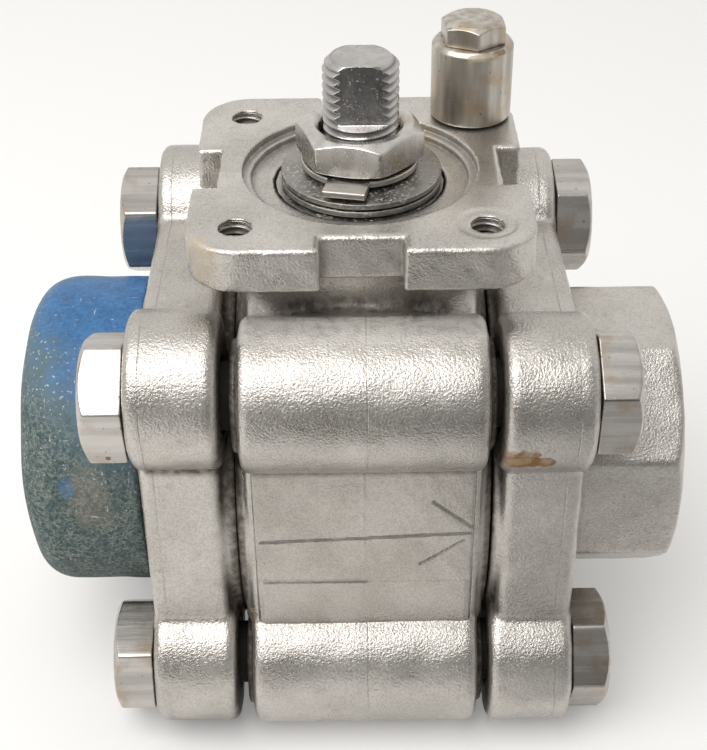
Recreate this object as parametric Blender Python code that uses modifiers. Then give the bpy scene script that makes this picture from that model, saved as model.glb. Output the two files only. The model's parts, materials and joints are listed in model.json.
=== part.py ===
"""Three-piece ball valve with a bare stem, a direct-mount pad and a protective cap on one pipe end.

The valve is drawn about the centre of its ball, with the pipe along X and the stem up Z, and an
empty then lifts it so that it stands on its lower lugs with the origin under its middle.
"""
import math

import bmesh
import bpy
from mathutils import Matrix

# Sizes in metres

# Fits
CONTACT_GAP = 0.0003
BALL_CLEARANCE = 0.0006
BOLT_HOLE_CLEARANCE = 0.0005
STEM_BORE_CLEARANCE = 0.0004

# Overall
FACE_TO_FACE = 0.0998
PAD_ABOVE_LUGS = 0.00525
STEM_ABOVE_PAD = 0.01753

# Bolted joint between the body and its end caps
BOLT_DIAMETER = 0.010
BOLT_ENGAGEMENT = 0.014
BOLT_TIP_CHAMFER = 0.001
BOLT_HEAD_ACROSS_FLATS = 0.017
BOLT_HEAD_HEIGHT = 0.0067
BOLT_HEAD_CLEARANCE = 0.00164
BOLT_WASHER_FACE_DIAMETER = 0.0164
BOLT_WASHER_FACE_HEIGHT = 0.0006
LUG_DIAMETER = 0.0225
LUG_GAP = 0.0017
LUG_BOSS_DIAMETER = 0.0165
LUG_BOSS_HEIGHT = 0.0010
END_LUG_LENGTH = 0.0129
END_LUG_STEP = 0.0002

# Castings
WEB_BEYOND_BOLTS = 0.0049
WEB_STEP = 0.0003
END_RING_STEP = 0.0012
RING_WALL = 0.0052
NECK_DIAMETER = 0.037
PANEL_WIDTH = 0.034
PANEL_HEIGHT = 0.0080
PANEL_RELIEF = 0.0005
PANEL_BELOW_CENTRE = 0.0105

# Pipe ends
OCTAGON_ACROSS_FLATS = 0.0440
OCTAGON_BEVEL = 0.0006
SOCKET_MOUTH_DIAMETER = 0.0330
SOCKET_TAPER = 0.0006
SOCKET_DEPTH = 0.0190
SOCKET_CHAMFER = 0.0012

# Ball, seats and body seals
BALL_DIAMETER = 0.036
BALL_BORE = 0.024
BALL_SLOT_FLOOR_WALL = 0.0015
SEAT_LIP = 0.0003
SEAT_WALL = 0.00365
SEAT_RIM = 0.0027
SPIGOT_LENGTH = 0.0019
SEAL_WIDTH = 0.0034
SEAL_THICKNESS = 0.0019

# Stem and what seals and drives it
STEM_DIAMETER = 0.012
STEM_THREAD_RELIEF = 0.0003
STEM_FLATS = 0.0079
STEM_FLATS_HEIGHT = 0.0096
STEM_TOP_CHAMFER = 0.0007
STEM_COLLAR_LIP = 0.0025
STEM_COLLAR_HEIGHT = 0.0031
STEM_COLLAR_ABOVE_BALL = 0.0009
STEM_TANG_THICKNESS = 0.0078
STEM_TANG_WIDTH = 0.0140
THRUST_WASHER_THICKNESS = 0.0015
O_RING_SECTION = 0.0012
O_RING_GROOVE_WIDTH = 0.0020
PACKING_WIDTH = 0.0034
PACKING_HEIGHT = 0.0028
PACKING_CHEVRON = 0.0008
FOLLOWER_SLEEVE = 0.0046
FOLLOWER_FLANGE = 0.0027
SPRING_DIAMETER = 0.0245
SPRING_THICKNESS = 0.0009
SPRING_CONE = 0.0006
SPRING_WELL_CLEARANCE = 0.00065
TAB_WASHER_DIAMETER = 0.0175
TAB_WASHER_THICKNESS = 0.0010
TAB_WIDTH = 0.0063
TAB_REACH = 0.0121
NUT_ACROSS_FLATS = 0.017
NUT_HEIGHT = 0.0053
NUT_TURN = math.radians(-12)

# Direct-mount pad
PAD_EDGE = 0.00672
PAD_THICKNESS = 0.00677
PAD_CORNER_RADIUS = 0.0076
PAD_HOLE_CIRCLE = 0.050
PAD_HOLE_DIAMETER = 0.0050
PAD_NOTCH_WIDTH = 0.0124
PAD_NOTCH_DEPTH = 0.0033
PAD_SPIGOT_DIAMETER = 0.0352
PAD_SPIGOT_DEPTH = 0.0012
PAD_STEP_DIAMETER = 0.0326
PAD_STEP_DEPTH = 0.0010

# Stop post on the pad
STOP_SLEEVE_DIAMETER = 0.013
STOP_SLEEVE_HEIGHT = 0.0119
STOP_SCREW_DIAMETER = 0.006
STOP_HEAD_ACROSS_FLATS = 0.010
STOP_HEAD_HEIGHT = 0.0035
STOP_TURN = math.radians(-24.5)

# Protective cap on the left pipe end
CAP_WALL = 0.0012
CAP_END_WALL = 0.0026
CAP_CORNER_WALL = 0.0005
CAP_RIM_GAP = 0.0017
CAP_ROUNDING = 0.0066

# Turn of each bolt head about its own axis, from +Y towards +Z
BOLT_TURNS = {
    "bolt_left_front_upper": math.radians(40),
    "bolt_right_front_upper": math.radians(31),
    "bolt_left_front_lower": math.radians(18),
    "bolt_right_front_lower": math.radians(55),
    "bolt_left_back_upper": math.radians(25),
    "bolt_right_back_upper": math.radians(11),
    "bolt_left_back_lower": math.radians(35),
    "bolt_right_back_lower": math.radians(5),
}

# Facets
ROUND_SIDES = 32
RING_SIDES = 24
SMALL_SIDES = 16
ARC_STEPS = 5
O_RING_STEPS = 8
HEX_CHAMFER = math.radians(30)
SHARP_ANGLE = math.radians(30)
MERGE = 0.00001
OVERRUN = 0.005

# Places along the pipe, worked out from the ball outwards
BALL_RADIUS = BALL_DIAMETER / 2
PORT_RADIUS = BALL_BORE / 2
SEAT_SPHERE = BALL_RADIUS + CONTACT_GAP
SEAT_BORE = PORT_RADIUS + SEAT_LIP
BODY_BORE = BALL_RADIUS + BALL_CLEARANCE
SEAT_RADIUS = BODY_BORE - CONTACT_GAP
SEAT_BACK = math.sqrt(SEAT_SPHERE**2 - SEAT_BORE**2) + SEAT_WALL
SPIGOT_FACE = SEAT_BACK + CONTACT_GAP
SPIGOT_RADIUS = BODY_BORE - CONTACT_GAP
END_CAP_FACE = SPIGOT_FACE + SPIGOT_LENGTH
BODY_RING_FACE = END_CAP_FACE - CONTACT_GAP
BODY_LUG_FACE = END_CAP_FACE - LUG_GAP
END_LUG_FACE = END_CAP_FACE + END_LUG_LENGTH
END_FACE = FACE_TO_FACE / 2
SEAL_INNER = SPIGOT_RADIUS + CONTACT_GAP
SEAL_OUTER = SEAL_INNER + SEAL_WIDTH
SEAL_POCKET = SEAL_OUTER + CONTACT_GAP
SEAL_POCKET_FLOOR = BODY_RING_FACE - SEAL_THICKNESS - CONTACT_GAP
RING_RADIUS = SEAL_POCKET + RING_WALL
OCTAGON_CORNER = OCTAGON_ACROSS_FLATS / 2 / math.cos(math.pi / 8)

# The bolts stand clear of the protective cap, and the pad stands clear of the upper lugs
CAP_INNER = OCTAGON_CORNER + CONTACT_GAP
CAP_OUTER = CAP_INNER + CAP_WALL
BOLT_HEAD_CORNER = BOLT_HEAD_ACROSS_FLATS / math.sqrt(3)
BOLT_OFFSET = (CAP_OUTER + BOLT_HEAD_CLEARANCE + BOLT_HEAD_CORNER) / math.sqrt(2)
LUG_RADIUS = LUG_DIAMETER / 2
WEB_DEPTH = BOLT_OFFSET + WEB_BEYOND_BOLTS
PAD_BOTTOM = BOLT_OFFSET + LUG_RADIUS + PAD_ABOVE_LUGS
PAD_TOP = PAD_BOTTOM + PAD_THICKNESS
STEM_TOP = PAD_TOP + STEM_ABOVE_PAD

# Places up the stem, from the ball up and from the pad down
STEM_RADIUS = STEM_DIAMETER / 2
THREAD_RADIUS = STEM_RADIUS - STEM_THREAD_RELIEF
SLOT_FLOOR = PORT_RADIUS + BALL_SLOT_FLOOR_WALL
COLLAR_BOTTOM = BALL_RADIUS + STEM_COLLAR_ABOVE_BALL
COLLAR_TOP = COLLAR_BOTTOM + STEM_COLLAR_HEIGHT
COLLAR_RADIUS = STEM_RADIUS + STEM_COLLAR_LIP
COLLAR_POCKET = COLLAR_RADIUS + CONTACT_GAP
SHOULDER = COLLAR_TOP + THRUST_WASHER_THICKNESS + 2 * CONTACT_GAP
SPIGOT_FLOOR = PAD_TOP - PAD_SPIGOT_DEPTH
STEP_FLOOR = SPIGOT_FLOOR - PAD_STEP_DEPTH
SPRING_RADIUS = SPRING_DIAMETER / 2
SPRING_WELL = SPRING_RADIUS + SPRING_WELL_CLEARANCE
SPRING_SEAT = STEP_FLOOR
FOLLOWER_TOP = SPRING_SEAT - CONTACT_GAP
FOLLOWER_STEP = FOLLOWER_TOP - FOLLOWER_FLANGE
FOLLOWER_BOTTOM = FOLLOWER_STEP - FOLLOWER_SLEEVE
WELL_FLOOR = FOLLOWER_STEP - CONTACT_GAP
RING_INNER = STEM_RADIUS + CONTACT_GAP
PACKING_RADIUS = RING_INNER + PACKING_WIDTH
CHAMBER_RADIUS = PACKING_RADIUS + CONTACT_GAP
PACKING_NAMES = ("packing_lower", "packing_middle", "packing_upper")
PACKING_PITCH = PACKING_HEIGHT + CONTACT_GAP
CHAMBER_FLOOR = FOLLOWER_BOTTOM - len(PACKING_NAMES) * PACKING_PITCH - CONTACT_GAP
STEM_BORE = STEM_RADIUS + STEM_BORE_CLEARANCE
O_RING_LEVEL = (SHOULDER + CHAMBER_FLOOR) / 2
SPRING_PITCH = SPRING_THICKNESS + CONTACT_GAP
TAB_WASHER_BOTTOM = SPRING_SEAT + SPRING_CONE + 2 * SPRING_PITCH
NUT_BOTTOM = TAB_WASHER_BOTTOM + TAB_WASHER_THICKNESS + CONTACT_GAP
NUT_TOP = NUT_BOTTOM + NUT_HEIGHT
THREAD_END = SPRING_SEAT + SPRING_CONE
FLATS_BOTTOM = STEM_TOP - STEM_FLATS_HEIGHT

# Places on the pad and the capped end
HOLE_OFFSET = PAD_HOLE_CIRCLE / 2 / math.sqrt(2)
PAD_HALF_WIDTH = HOLE_OFFSET + PAD_EDGE
STOP_BOTTOM = PAD_TOP + CONTACT_GAP
STOP_TOP = STOP_BOTTOM + STOP_SLEEVE_HEIGHT
CAP_RIM = END_LUG_FACE + CAP_RIM_GAP
CAP_FLOOR = END_FACE + CONTACT_GAP
CAP_REACH = CAP_FLOOR + CAP_END_WALL

# The rounding of the cap's closed end leaves the corner wall outside the cap's inner corner
CAP_SPARE = (CAP_WALL - CAP_CORNER_WALL) * (CAP_END_WALL - CAP_CORNER_WALL)
CAP_ROUNDING_LIMIT = CAP_WALL + CAP_END_WALL - CAP_CORNER_WALL + math.sqrt(2 * CAP_SPARE)
CAP_FILLET = min(CAP_ROUNDING, CAP_ROUNDING_LIMIT)

# The ball's centre, over the middle of the valve's footprint
CENTRE = ((CAP_REACH - END_FACE) / 2, 0.0, BOLT_OFFSET + LUG_RADIUS)

# Colour, roughness and metallic value of each finish
FINISHES = {
    "cast_stainless": ((0.52, 0.50, 0.47, 1.0), 0.45, 1.0),
    "bolt_stainless": ((0.60, 0.58, 0.54, 1.0), 0.32, 1.0),
    "stem_stainless": ((0.55, 0.53, 0.50, 1.0), 0.28, 1.0),
    "ball_stainless": ((0.66, 0.65, 0.63, 1.0), 0.12, 1.0),
    "spring_steel": ((0.34, 0.32, 0.30, 1.0), 0.38, 1.0),
    "stop_stainless": ((0.46, 0.42, 0.37, 1.0), 0.35, 1.0),
    "seat_polymer": ((0.85, 0.84, 0.80, 1.0), 0.55, 0.0),
    "packing_polymer": ((0.78, 0.76, 0.70, 1.0), 0.60, 0.0),
    "seal_rubber": ((0.03, 0.03, 0.03, 1.0), 0.70, 0.0),
    "cap_plastic": ((0.03, 0.16, 0.42, 1.0), 0.50, 0.0),
}


def clear_scene():
    """Remove every object, so that a second run starts from nothing."""
    for obj in list(bpy.data.objects):
        bpy.data.objects.remove(obj, do_unlink=True)


def collection(name):
    """Collection of the given name, linked to the scene."""
    group = bpy.data.collections.get(name) or bpy.data.collections.new(name)
    if name not in bpy.context.scene.collection.children:
        bpy.context.scene.collection.children.link(group)
    return group


def finish(name):
    """Material of one of the named finishes."""
    colour, roughness, metallic = FINISHES[name]
    mat = bpy.data.materials.get(name) or bpy.data.materials.new(name)
    mat.use_nodes = True
    shader = mat.node_tree.nodes["Principled BSDF"]
    shader.inputs["Base Color"].default_value = colour
    shader.inputs["Roughness"].default_value = roughness
    shader.inputs["Metallic"].default_value = metallic
    mat.diffuse_color = colour
    return mat


def empty(name, group, parent=None, location=(0.0, 0.0, 0.0)):
    """Empty that carries a group of pieces, with its origin on their joint's axis."""
    obj = bpy.data.objects.new(name, None)
    group.objects.link(obj)
    obj.parent = parent
    obj.location = location
    return obj


def place(name, mesh, group, parent, location=(0.0, 0.0, 0.0), rotation=(0.0, 0.0, 0.0)):
    """Object that shows a mesh at a place on its parent."""
    obj = bpy.data.objects.new(name, mesh)
    group.objects.link(obj)
    obj.parent = parent
    obj.location = location
    obj.rotation_euler = rotation
    return obj


def dress(obj, finish_name):
    """Give a piece its finish, with smooth shading between its sharp edges."""
    obj.data.materials.clear()
    obj.data.materials.append(finish(finish_name))
    if obj.data.polygons:
        obj.data.shade_smooth()
        obj.data.set_sharp_from_angle(angle=SHARP_ANGLE)
    return obj


def box_mesh(name, low, high):
    """Box between two corners."""
    size = [top - bottom for bottom, top in zip(low, high)]
    middle = [(top + bottom) / 2 for bottom, top in zip(low, high)]
    mesh = bpy.data.meshes.new(name)
    shape = bmesh.new()
    bmesh.ops.create_cube(shape, size=1.0, matrix=Matrix.Translation(middle) @ Matrix.Diagonal((*size, 1.0)))
    shape.to_mesh(mesh)
    shape.free()
    return mesh


def prism_mesh(name, corner_radius, bottom, top, sides=ROUND_SIDES, turn=0.0, along_x=False):
    """Regular prism about Z, or about X, with a corner at the angle given by turn."""
    middle = Matrix.Translation((0.0, 0.0, (bottom + top) / 2))
    matrix = middle @ Matrix.Rotation(turn - math.pi / 2, 4, "Z")
    if along_x:
        matrix = Matrix.Rotation(math.pi / 2, 4, "Y") @ matrix
    mesh = bpy.data.meshes.new(name)
    shape = bmesh.new()
    bmesh.ops.create_cone(
        shape,
        cap_ends=True,
        segments=sides,
        radius1=corner_radius,
        radius2=corner_radius,
        depth=top - bottom,
        matrix=matrix,
    )
    shape.to_mesh(mesh)
    shape.free()
    return mesh


def outline_mesh(name, outline, bottom, top):
    """Flat outline in X and Y, raised from one level to another."""
    mesh = bpy.data.meshes.new(name)
    shape = bmesh.new()
    face = shape.faces.new([shape.verts.new((x, y, bottom)) for x, y in outline])
    raised = bmesh.ops.extrude_face_region(shape, geom=[face])
    moved = [item for item in raised["geom"] if isinstance(item, bmesh.types.BMVert)]
    bmesh.ops.translate(shape, verts=moved, vec=(0.0, 0.0, top - bottom))
    bmesh.ops.recalc_face_normals(shape, faces=shape.faces)
    shape.to_mesh(mesh)
    shape.free()
    return mesh


def turned(name, profile, group, parent, ring=False, sides=ROUND_SIDES, rotation=(0.0, 0.0, 0.0)):
    """Turned piece: a profile of (radius, height) points spun about Z.

    The outer side of the profile runs from top to bottom. A ring's profile is closed on itself.
    """
    count = len(profile)
    edges = [(i, i + 1) for i in range(count - 1)]
    if ring:
        edges.append((count - 1, 0))
    mesh = bpy.data.meshes.new(name)
    mesh.from_pydata([(radius, 0.0, height) for radius, height in profile], edges, [])
    obj = place(name, mesh, group, parent, rotation=rotation)
    spin = obj.modifiers.new("spin", "SCREW")
    spin.axis = "Z"
    spin.steps = sides
    spin.render_steps = sides
    spin.use_merge_vertices = True
    spin.merge_threshold = MERGE
    return obj


def ring_profile(inner, outer, bottom, top):
    """Profile of a plain ring."""
    return [(inner, top), (outer, top), (outer, bottom), (inner, bottom)]


def arc(centre, radius, start, end, steps=ARC_STEPS):
    """Points along an arc between two angles, both ends included."""
    angles = [start + (end - start) * i / steps for i in range(steps + 1)]
    return [(centre[0] + radius * math.cos(a), centre[1] + radius * math.sin(a)) for a in angles]


def tool(obj):
    """Mark an object as a cutter or a guide, which isn't a piece of the valve."""
    obj.hide_render = True
    obj.display_type = "WIRE"
    return obj


def combine(obj, other, operation):
    """Join another body to an object, cut it away, or keep what both share."""
    step = obj.modifiers.new(other.name, "BOOLEAN")
    step.operation = operation
    step.solver = "EXACT"
    step.object = tool(other)


def finished_mesh(obj):
    """Mesh of an object with its modifiers applied."""
    graph = bpy.context.evaluated_depsgraph_get()
    return bpy.data.meshes.new_from_object(obj.evaluated_get(graph))


def lug_centres():
    """Centre of each lug in Y and Z, with its name."""
    sides = (("front", -1), ("back", 1))
    levels = (("lower", -1), ("upper", 1))
    return [
        (f"{side}_{level}", y * BOLT_OFFSET, z * BOLT_OFFSET) for side, y in sides for level, z in levels
    ]


def hole_centres():
    """Centre of each tapped hole in the pad, in X and Y."""
    return [(x * HOLE_OFFSET, y * HOLE_OFFSET) for x in (-1, 1) for y in (-1, 1)]


def pad_outline():
    """Square with rounded corners and a notch in the middle of each side."""
    half = PAD_HALF_WIDTH
    notch = PAD_NOTCH_WIDTH / 2
    floor = half - PAD_NOTCH_DEPTH
    corner = half - PAD_CORNER_RADIUS
    quarter = [(half, -notch), (floor, -notch), (floor, notch), (half, notch)]
    quarter += arc((corner, corner), PAD_CORNER_RADIUS, 0.0, math.pi / 2)
    points = []
    for turn in range(4):
        c, s = round(math.cos(turn * math.pi / 2)), round(math.sin(turn * math.pi / 2))
        points += [(c * x - s * y, s * x + c * y) for x, y in quarter]
    return points


def make_body(parts, cutters, valve):
    """Body casting: a block with four lugs, a joint ring at each end, a neck and the pad."""
    low = (-BODY_LUG_FACE + WEB_STEP, -WEB_DEPTH, -WEB_DEPTH)
    high = (BODY_LUG_FACE - WEB_STEP, WEB_DEPTH, WEB_DEPTH)
    body = place("body", box_mesh("body", low, high), parts, valve)

    def join(name, mesh, location=(0.0, 0.0, 0.0)):
        combine(body, place(name, mesh, cutters, valve, location), "UNION")

    def cut(name, mesh, location=(0.0, 0.0, 0.0)):
        combine(body, place(name, mesh, cutters, valve, location), "DIFFERENCE")

    lug = prism_mesh("body_lug", LUG_RADIUS, -BODY_LUG_FACE, BODY_LUG_FACE, along_x=True)
    boss_face = BODY_LUG_FACE + LUG_BOSS_HEIGHT
    boss = prism_mesh("lug_boss", LUG_BOSS_DIAMETER / 2, -boss_face, boss_face, along_x=True)
    for name, y, z in lug_centres():
        join(f"body_lug_{name}", lug, (0.0, y, z))
        join(f"lug_boss_{name}", boss, (0.0, y, z))
    join("joint_ring", prism_mesh("joint_ring", RING_RADIUS, -BODY_RING_FACE, BODY_RING_FACE, along_x=True))
    neck = prism_mesh("neck", NECK_DIAMETER / 2, BALL_RADIUS, (PAD_BOTTOM + PAD_TOP) / 2)
    neck_guide = place("neck", neck, cutters, valve)
    between_low = (-BODY_RING_FACE, -NECK_DIAMETER, 0.0)
    between = box_mesh("between_joint_faces", between_low, (BODY_RING_FACE, NECK_DIAMETER, PAD_TOP))
    combine(neck_guide, place("between_joint_faces", between, cutters, valve), "INTERSECT")
    combine(body, neck_guide, "UNION")
    join("pad", outline_mesh("pad", pad_outline(), PAD_BOTTOM, PAD_TOP))
    panel_low = (-PANEL_WIDTH / 2, -WEB_DEPTH - PANEL_RELIEF, -PANEL_BELOW_CENTRE - PANEL_HEIGHT / 2)
    panel_high = (PANEL_WIDTH / 2, -WEB_DEPTH + PANEL_RELIEF, -PANEL_BELOW_CENTRE + PANEL_HEIGHT / 2)
    join("panel", box_mesh("panel", panel_low, panel_high))

    past = BODY_RING_FACE + OVERRUN
    flow_way = [
        (0.0, past),
        (SEAL_POCKET, past),
        (SEAL_POCKET, SEAL_POCKET_FLOOR),
        (BODY_BORE, SEAL_POCKET_FLOOR),
        (BODY_BORE, -SEAL_POCKET_FLOOR),
        (SEAL_POCKET, -SEAL_POCKET_FLOOR),
        (SEAL_POCKET, -past),
        (0.0, -past),
    ]
    sideways = (0.0, math.pi / 2, 0.0)
    combine(body, turned("flow_way", flow_way, cutters, valve, rotation=sideways), "DIFFERENCE")
    stem_way = [
        (0.0, PAD_TOP + OVERRUN),
        (PAD_SPIGOT_DIAMETER / 2, PAD_TOP + OVERRUN),
        (PAD_SPIGOT_DIAMETER / 2, SPIGOT_FLOOR),
        (PAD_STEP_DIAMETER / 2, SPIGOT_FLOOR),
        (PAD_STEP_DIAMETER / 2, STEP_FLOOR),
        (SPRING_WELL, STEP_FLOOR),
        (SPRING_WELL, WELL_FLOOR),
        (CHAMBER_RADIUS, WELL_FLOOR),
        (CHAMBER_RADIUS, CHAMBER_FLOOR),
        (STEM_BORE, CHAMBER_FLOOR),
        (STEM_BORE, SHOULDER),
        (COLLAR_POCKET, SHOULDER),
        (COLLAR_POCKET, BALL_RADIUS / 2),
        (0.0, BALL_RADIUS / 2),
    ]
    combine(body, turned("stem_way", stem_way, cutters, valve), "DIFFERENCE")
    hole_radius = BOLT_DIAMETER / 2 + CONTACT_GAP
    bolt_hole = prism_mesh("bolt_hole", hole_radius, -past, past, SMALL_SIDES, along_x=True)
    for name, y, z in lug_centres():
        cut(f"bolt_hole_{name}", bolt_hole, (0.0, y, z))
    hole_bottom = PAD_BOTTOM - CONTACT_GAP
    pad_hole = prism_mesh("pad_hole", PAD_HOLE_DIAMETER / 2, hole_bottom, PAD_TOP + OVERRUN, SMALL_SIDES)
    for i, (x, y) in enumerate(hole_centres()):
        cut(f"pad_hole_{i}", pad_hole, (x, y, 0.0))
    return dress(body, "cast_stainless")


def end_cap_mesh(cutters, valve):
    """End cap: a square plate with four lugs, an octagon hub, and a spigot that holds the seat."""
    plate_face = END_CAP_FACE + END_RING_STEP
    low = (plate_face, -WEB_DEPTH, -WEB_DEPTH)
    high = (END_LUG_FACE - WEB_STEP, WEB_DEPTH, WEB_DEPTH)
    blank = tool(place("end_cap_blank", box_mesh("end_cap_blank", low, high), cutters, valve))

    lug = prism_mesh("end_lug", LUG_RADIUS, END_CAP_FACE + END_LUG_STEP, END_LUG_FACE, along_x=True)
    for name, y, z in lug_centres():
        combine(blank, place(f"end_lug_{name}", lug, cutters, valve, (0.0, y, z)), "UNION")
    hub_start = END_LUG_FACE - END_LUG_LENGTH / 2
    hub = prism_mesh("hub", OCTAGON_CORNER, hub_start, END_FACE, sides=8, turn=math.pi / 8, along_x=True)
    hub_guide = place("hub", hub, cutters, valve)
    bevel = hub_guide.modifiers.new("bevel", "BEVEL")
    bevel.width = OCTAGON_BEVEL
    combine(blank, hub_guide, "UNION")
    inner_face = [
        (0.0, hub_start),
        (RING_RADIUS, hub_start),
        (RING_RADIUS, END_CAP_FACE),
        (SPIGOT_RADIUS, END_CAP_FACE),
        (SPIGOT_RADIUS, SPIGOT_FACE),
        (0.0, SPIGOT_FACE),
    ]
    sideways = (0.0, math.pi / 2, 0.0)
    combine(blank, turned("end_ring", inner_face, cutters, valve, rotation=sideways), "UNION")

    socket_floor = END_FACE - SOCKET_DEPTH
    mouth = SOCKET_MOUTH_DIAMETER / 2
    chamfer_start = END_FACE - SOCKET_CHAMFER
    port = [
        (0.0, END_FACE + SOCKET_CHAMFER),
        (mouth + 2 * SOCKET_CHAMFER, END_FACE + SOCKET_CHAMFER),
        (mouth, chamfer_start),
        (mouth - SOCKET_TAPER, socket_floor),
        (PORT_RADIUS, socket_floor),
        (PORT_RADIUS, SPIGOT_FACE - OVERRUN),
        (0.0, SPIGOT_FACE - OVERRUN),
    ]
    combine(blank, turned("port", port, cutters, valve, rotation=sideways), "DIFFERENCE")
    hole_radius = BOLT_DIAMETER / 2 + BOLT_HOLE_CLEARANCE
    hole = prism_mesh(
        "end_hole", hole_radius, END_CAP_FACE - OVERRUN, END_LUG_FACE + OVERRUN, SMALL_SIDES, along_x=True
    )
    for name, y, z in lug_centres():
        combine(blank, place(f"end_hole_{name}", hole, cutters, valve, (0.0, y, z)), "DIFFERENCE")
    return finished_mesh(blank)


def make_ends(parts, cutters, valve):
    """End caps, seats and body seals: one of each on the right, and turned about on the left."""
    cap = end_cap_mesh(cutters, valve)
    seat_face = math.sqrt(SEAT_SPHERE**2 - (SEAT_RADIUS - SEAT_RIM) ** 2)
    outer_angle = math.asin(seat_face / SEAT_SPHERE)
    inner_angle = math.acos(SEAT_BORE / SEAT_SPHERE)
    seat = [(SEAT_BORE, SEAT_BACK), (SEAT_RADIUS, SEAT_BACK), (SEAT_RADIUS, seat_face)]
    seat += arc((0.0, 0.0), SEAT_SPHERE, outer_angle, inner_angle)
    seal_floor = SEAL_POCKET_FLOOR + CONTACT_GAP
    seal = ring_profile(SEAL_INNER, SEAL_OUTER, seal_floor, seal_floor + SEAL_THICKNESS)
    for side, heading in (("right", 0.0), ("left", math.pi)):
        end_cap = place(f"end_cap_{side}", cap.copy(), parts, valve, rotation=(0.0, 0.0, heading))
        dress(end_cap, "cast_stainless")
        along = (0.0, math.pi / 2, heading)
        dress(turned(f"seat_{side}", seat, parts, valve, ring=True, rotation=along), "seat_polymer")
        dress(turned(f"body_seal_{side}", seal, parts, valve, ring=True, rotation=along), "seat_polymer")


def hexagon(name, across_flats, bottom, top, cutters, parent, turn=0.0):
    """Hexagon head with its top corners turned off, as a guide to build on."""
    corner = across_flats / math.sqrt(3)
    past = corner + CONTACT_GAP
    drop = (past - across_flats / 2) * math.tan(HEX_CHAMFER)
    head = tool(place(f"{name}_hex", prism_mesh(name, corner, bottom, top, 6, turn), cutters, parent))
    turning = [
        (0.0, top),
        (across_flats / 2, top),
        (past, top - drop),
        (past, bottom - drop),
        (0.0, bottom - drop),
    ]
    combine(head, turned(f"{name}_chamfer", turning, cutters, parent, sides=RING_SIDES), "INTERSECT")
    return head


def make_bolts(parts, cutters, valve):
    """Eight hexagon bolts, four from each end, screwed into the body's lugs."""
    seat = END_LUG_FACE + CONTACT_GAP
    head_bottom = seat + BOLT_WASHER_FACE_HEIGHT
    head_top = seat + BOLT_HEAD_HEIGHT
    bolt = hexagon("bolt", BOLT_HEAD_ACROSS_FLATS, head_bottom, head_top, cutters, valve)
    middle = (seat + head_top) / 2
    tip = BODY_LUG_FACE - BOLT_ENGAGEMENT
    shank = [
        (0.0, middle),
        (BOLT_WASHER_FACE_DIAMETER / 2, middle),
        (BOLT_WASHER_FACE_DIAMETER / 2, seat),
        (BOLT_DIAMETER / 2, seat),
        (BOLT_DIAMETER / 2, tip + BOLT_TIP_CHAMFER),
        (BOLT_DIAMETER / 2 - BOLT_TIP_CHAMFER, tip),
        (0.0, tip),
    ]
    combine(bolt, turned("bolt_shank", shank, cutters, valve, sides=SMALL_SIDES), "UNION")
    mesh = finished_mesh(bolt)
    mesh.transform(Matrix.Rotation(math.pi / 2, 4, "Y") @ Matrix.Rotation(math.pi / 2, 4, "Z"))
    for name, y, z in lug_centres():
        right, left = f"bolt_right_{name}", f"bolt_left_{name}"
        right_turn = (BOLT_TURNS[right], 0.0, 0.0)
        left_turn = (math.pi - BOLT_TURNS[left], 0.0, math.pi)
        dress(place(right, mesh.copy(), parts, valve, (0.0, y, z), right_turn), "bolt_stainless")
        dress(place(left, mesh.copy(), parts, valve, (0.0, y, z), left_turn), "bolt_stainless")


def make_ball(parts, cutters, ball_axis):
    """Floating ball: its port lies along the pipe, and its slot across it takes the stem's tang."""
    mesh = bpy.data.meshes.new("ball")
    shape = bmesh.new()
    bmesh.ops.create_uvsphere(shape, u_segments=ROUND_SIDES, v_segments=ROUND_SIDES // 2, radius=BALL_RADIUS)
    shape.to_mesh(mesh)
    shape.free()
    ball = place("ball", mesh, parts, ball_axis)
    port = prism_mesh("ball_port", PORT_RADIUS, -BALL_DIAMETER, BALL_DIAMETER, along_x=True)
    combine(ball, place("ball_port", port, cutters, ball_axis), "DIFFERENCE")
    half = STEM_TANG_THICKNESS / 2 + CONTACT_GAP
    slot = box_mesh("ball_slot", (-half, -BALL_DIAMETER, SLOT_FLOOR), (half, BALL_DIAMETER, BALL_DIAMETER))
    combine(ball, place("ball_slot", slot, cutters, ball_axis), "DIFFERENCE")
    return dress(ball, "ball_stainless")


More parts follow.
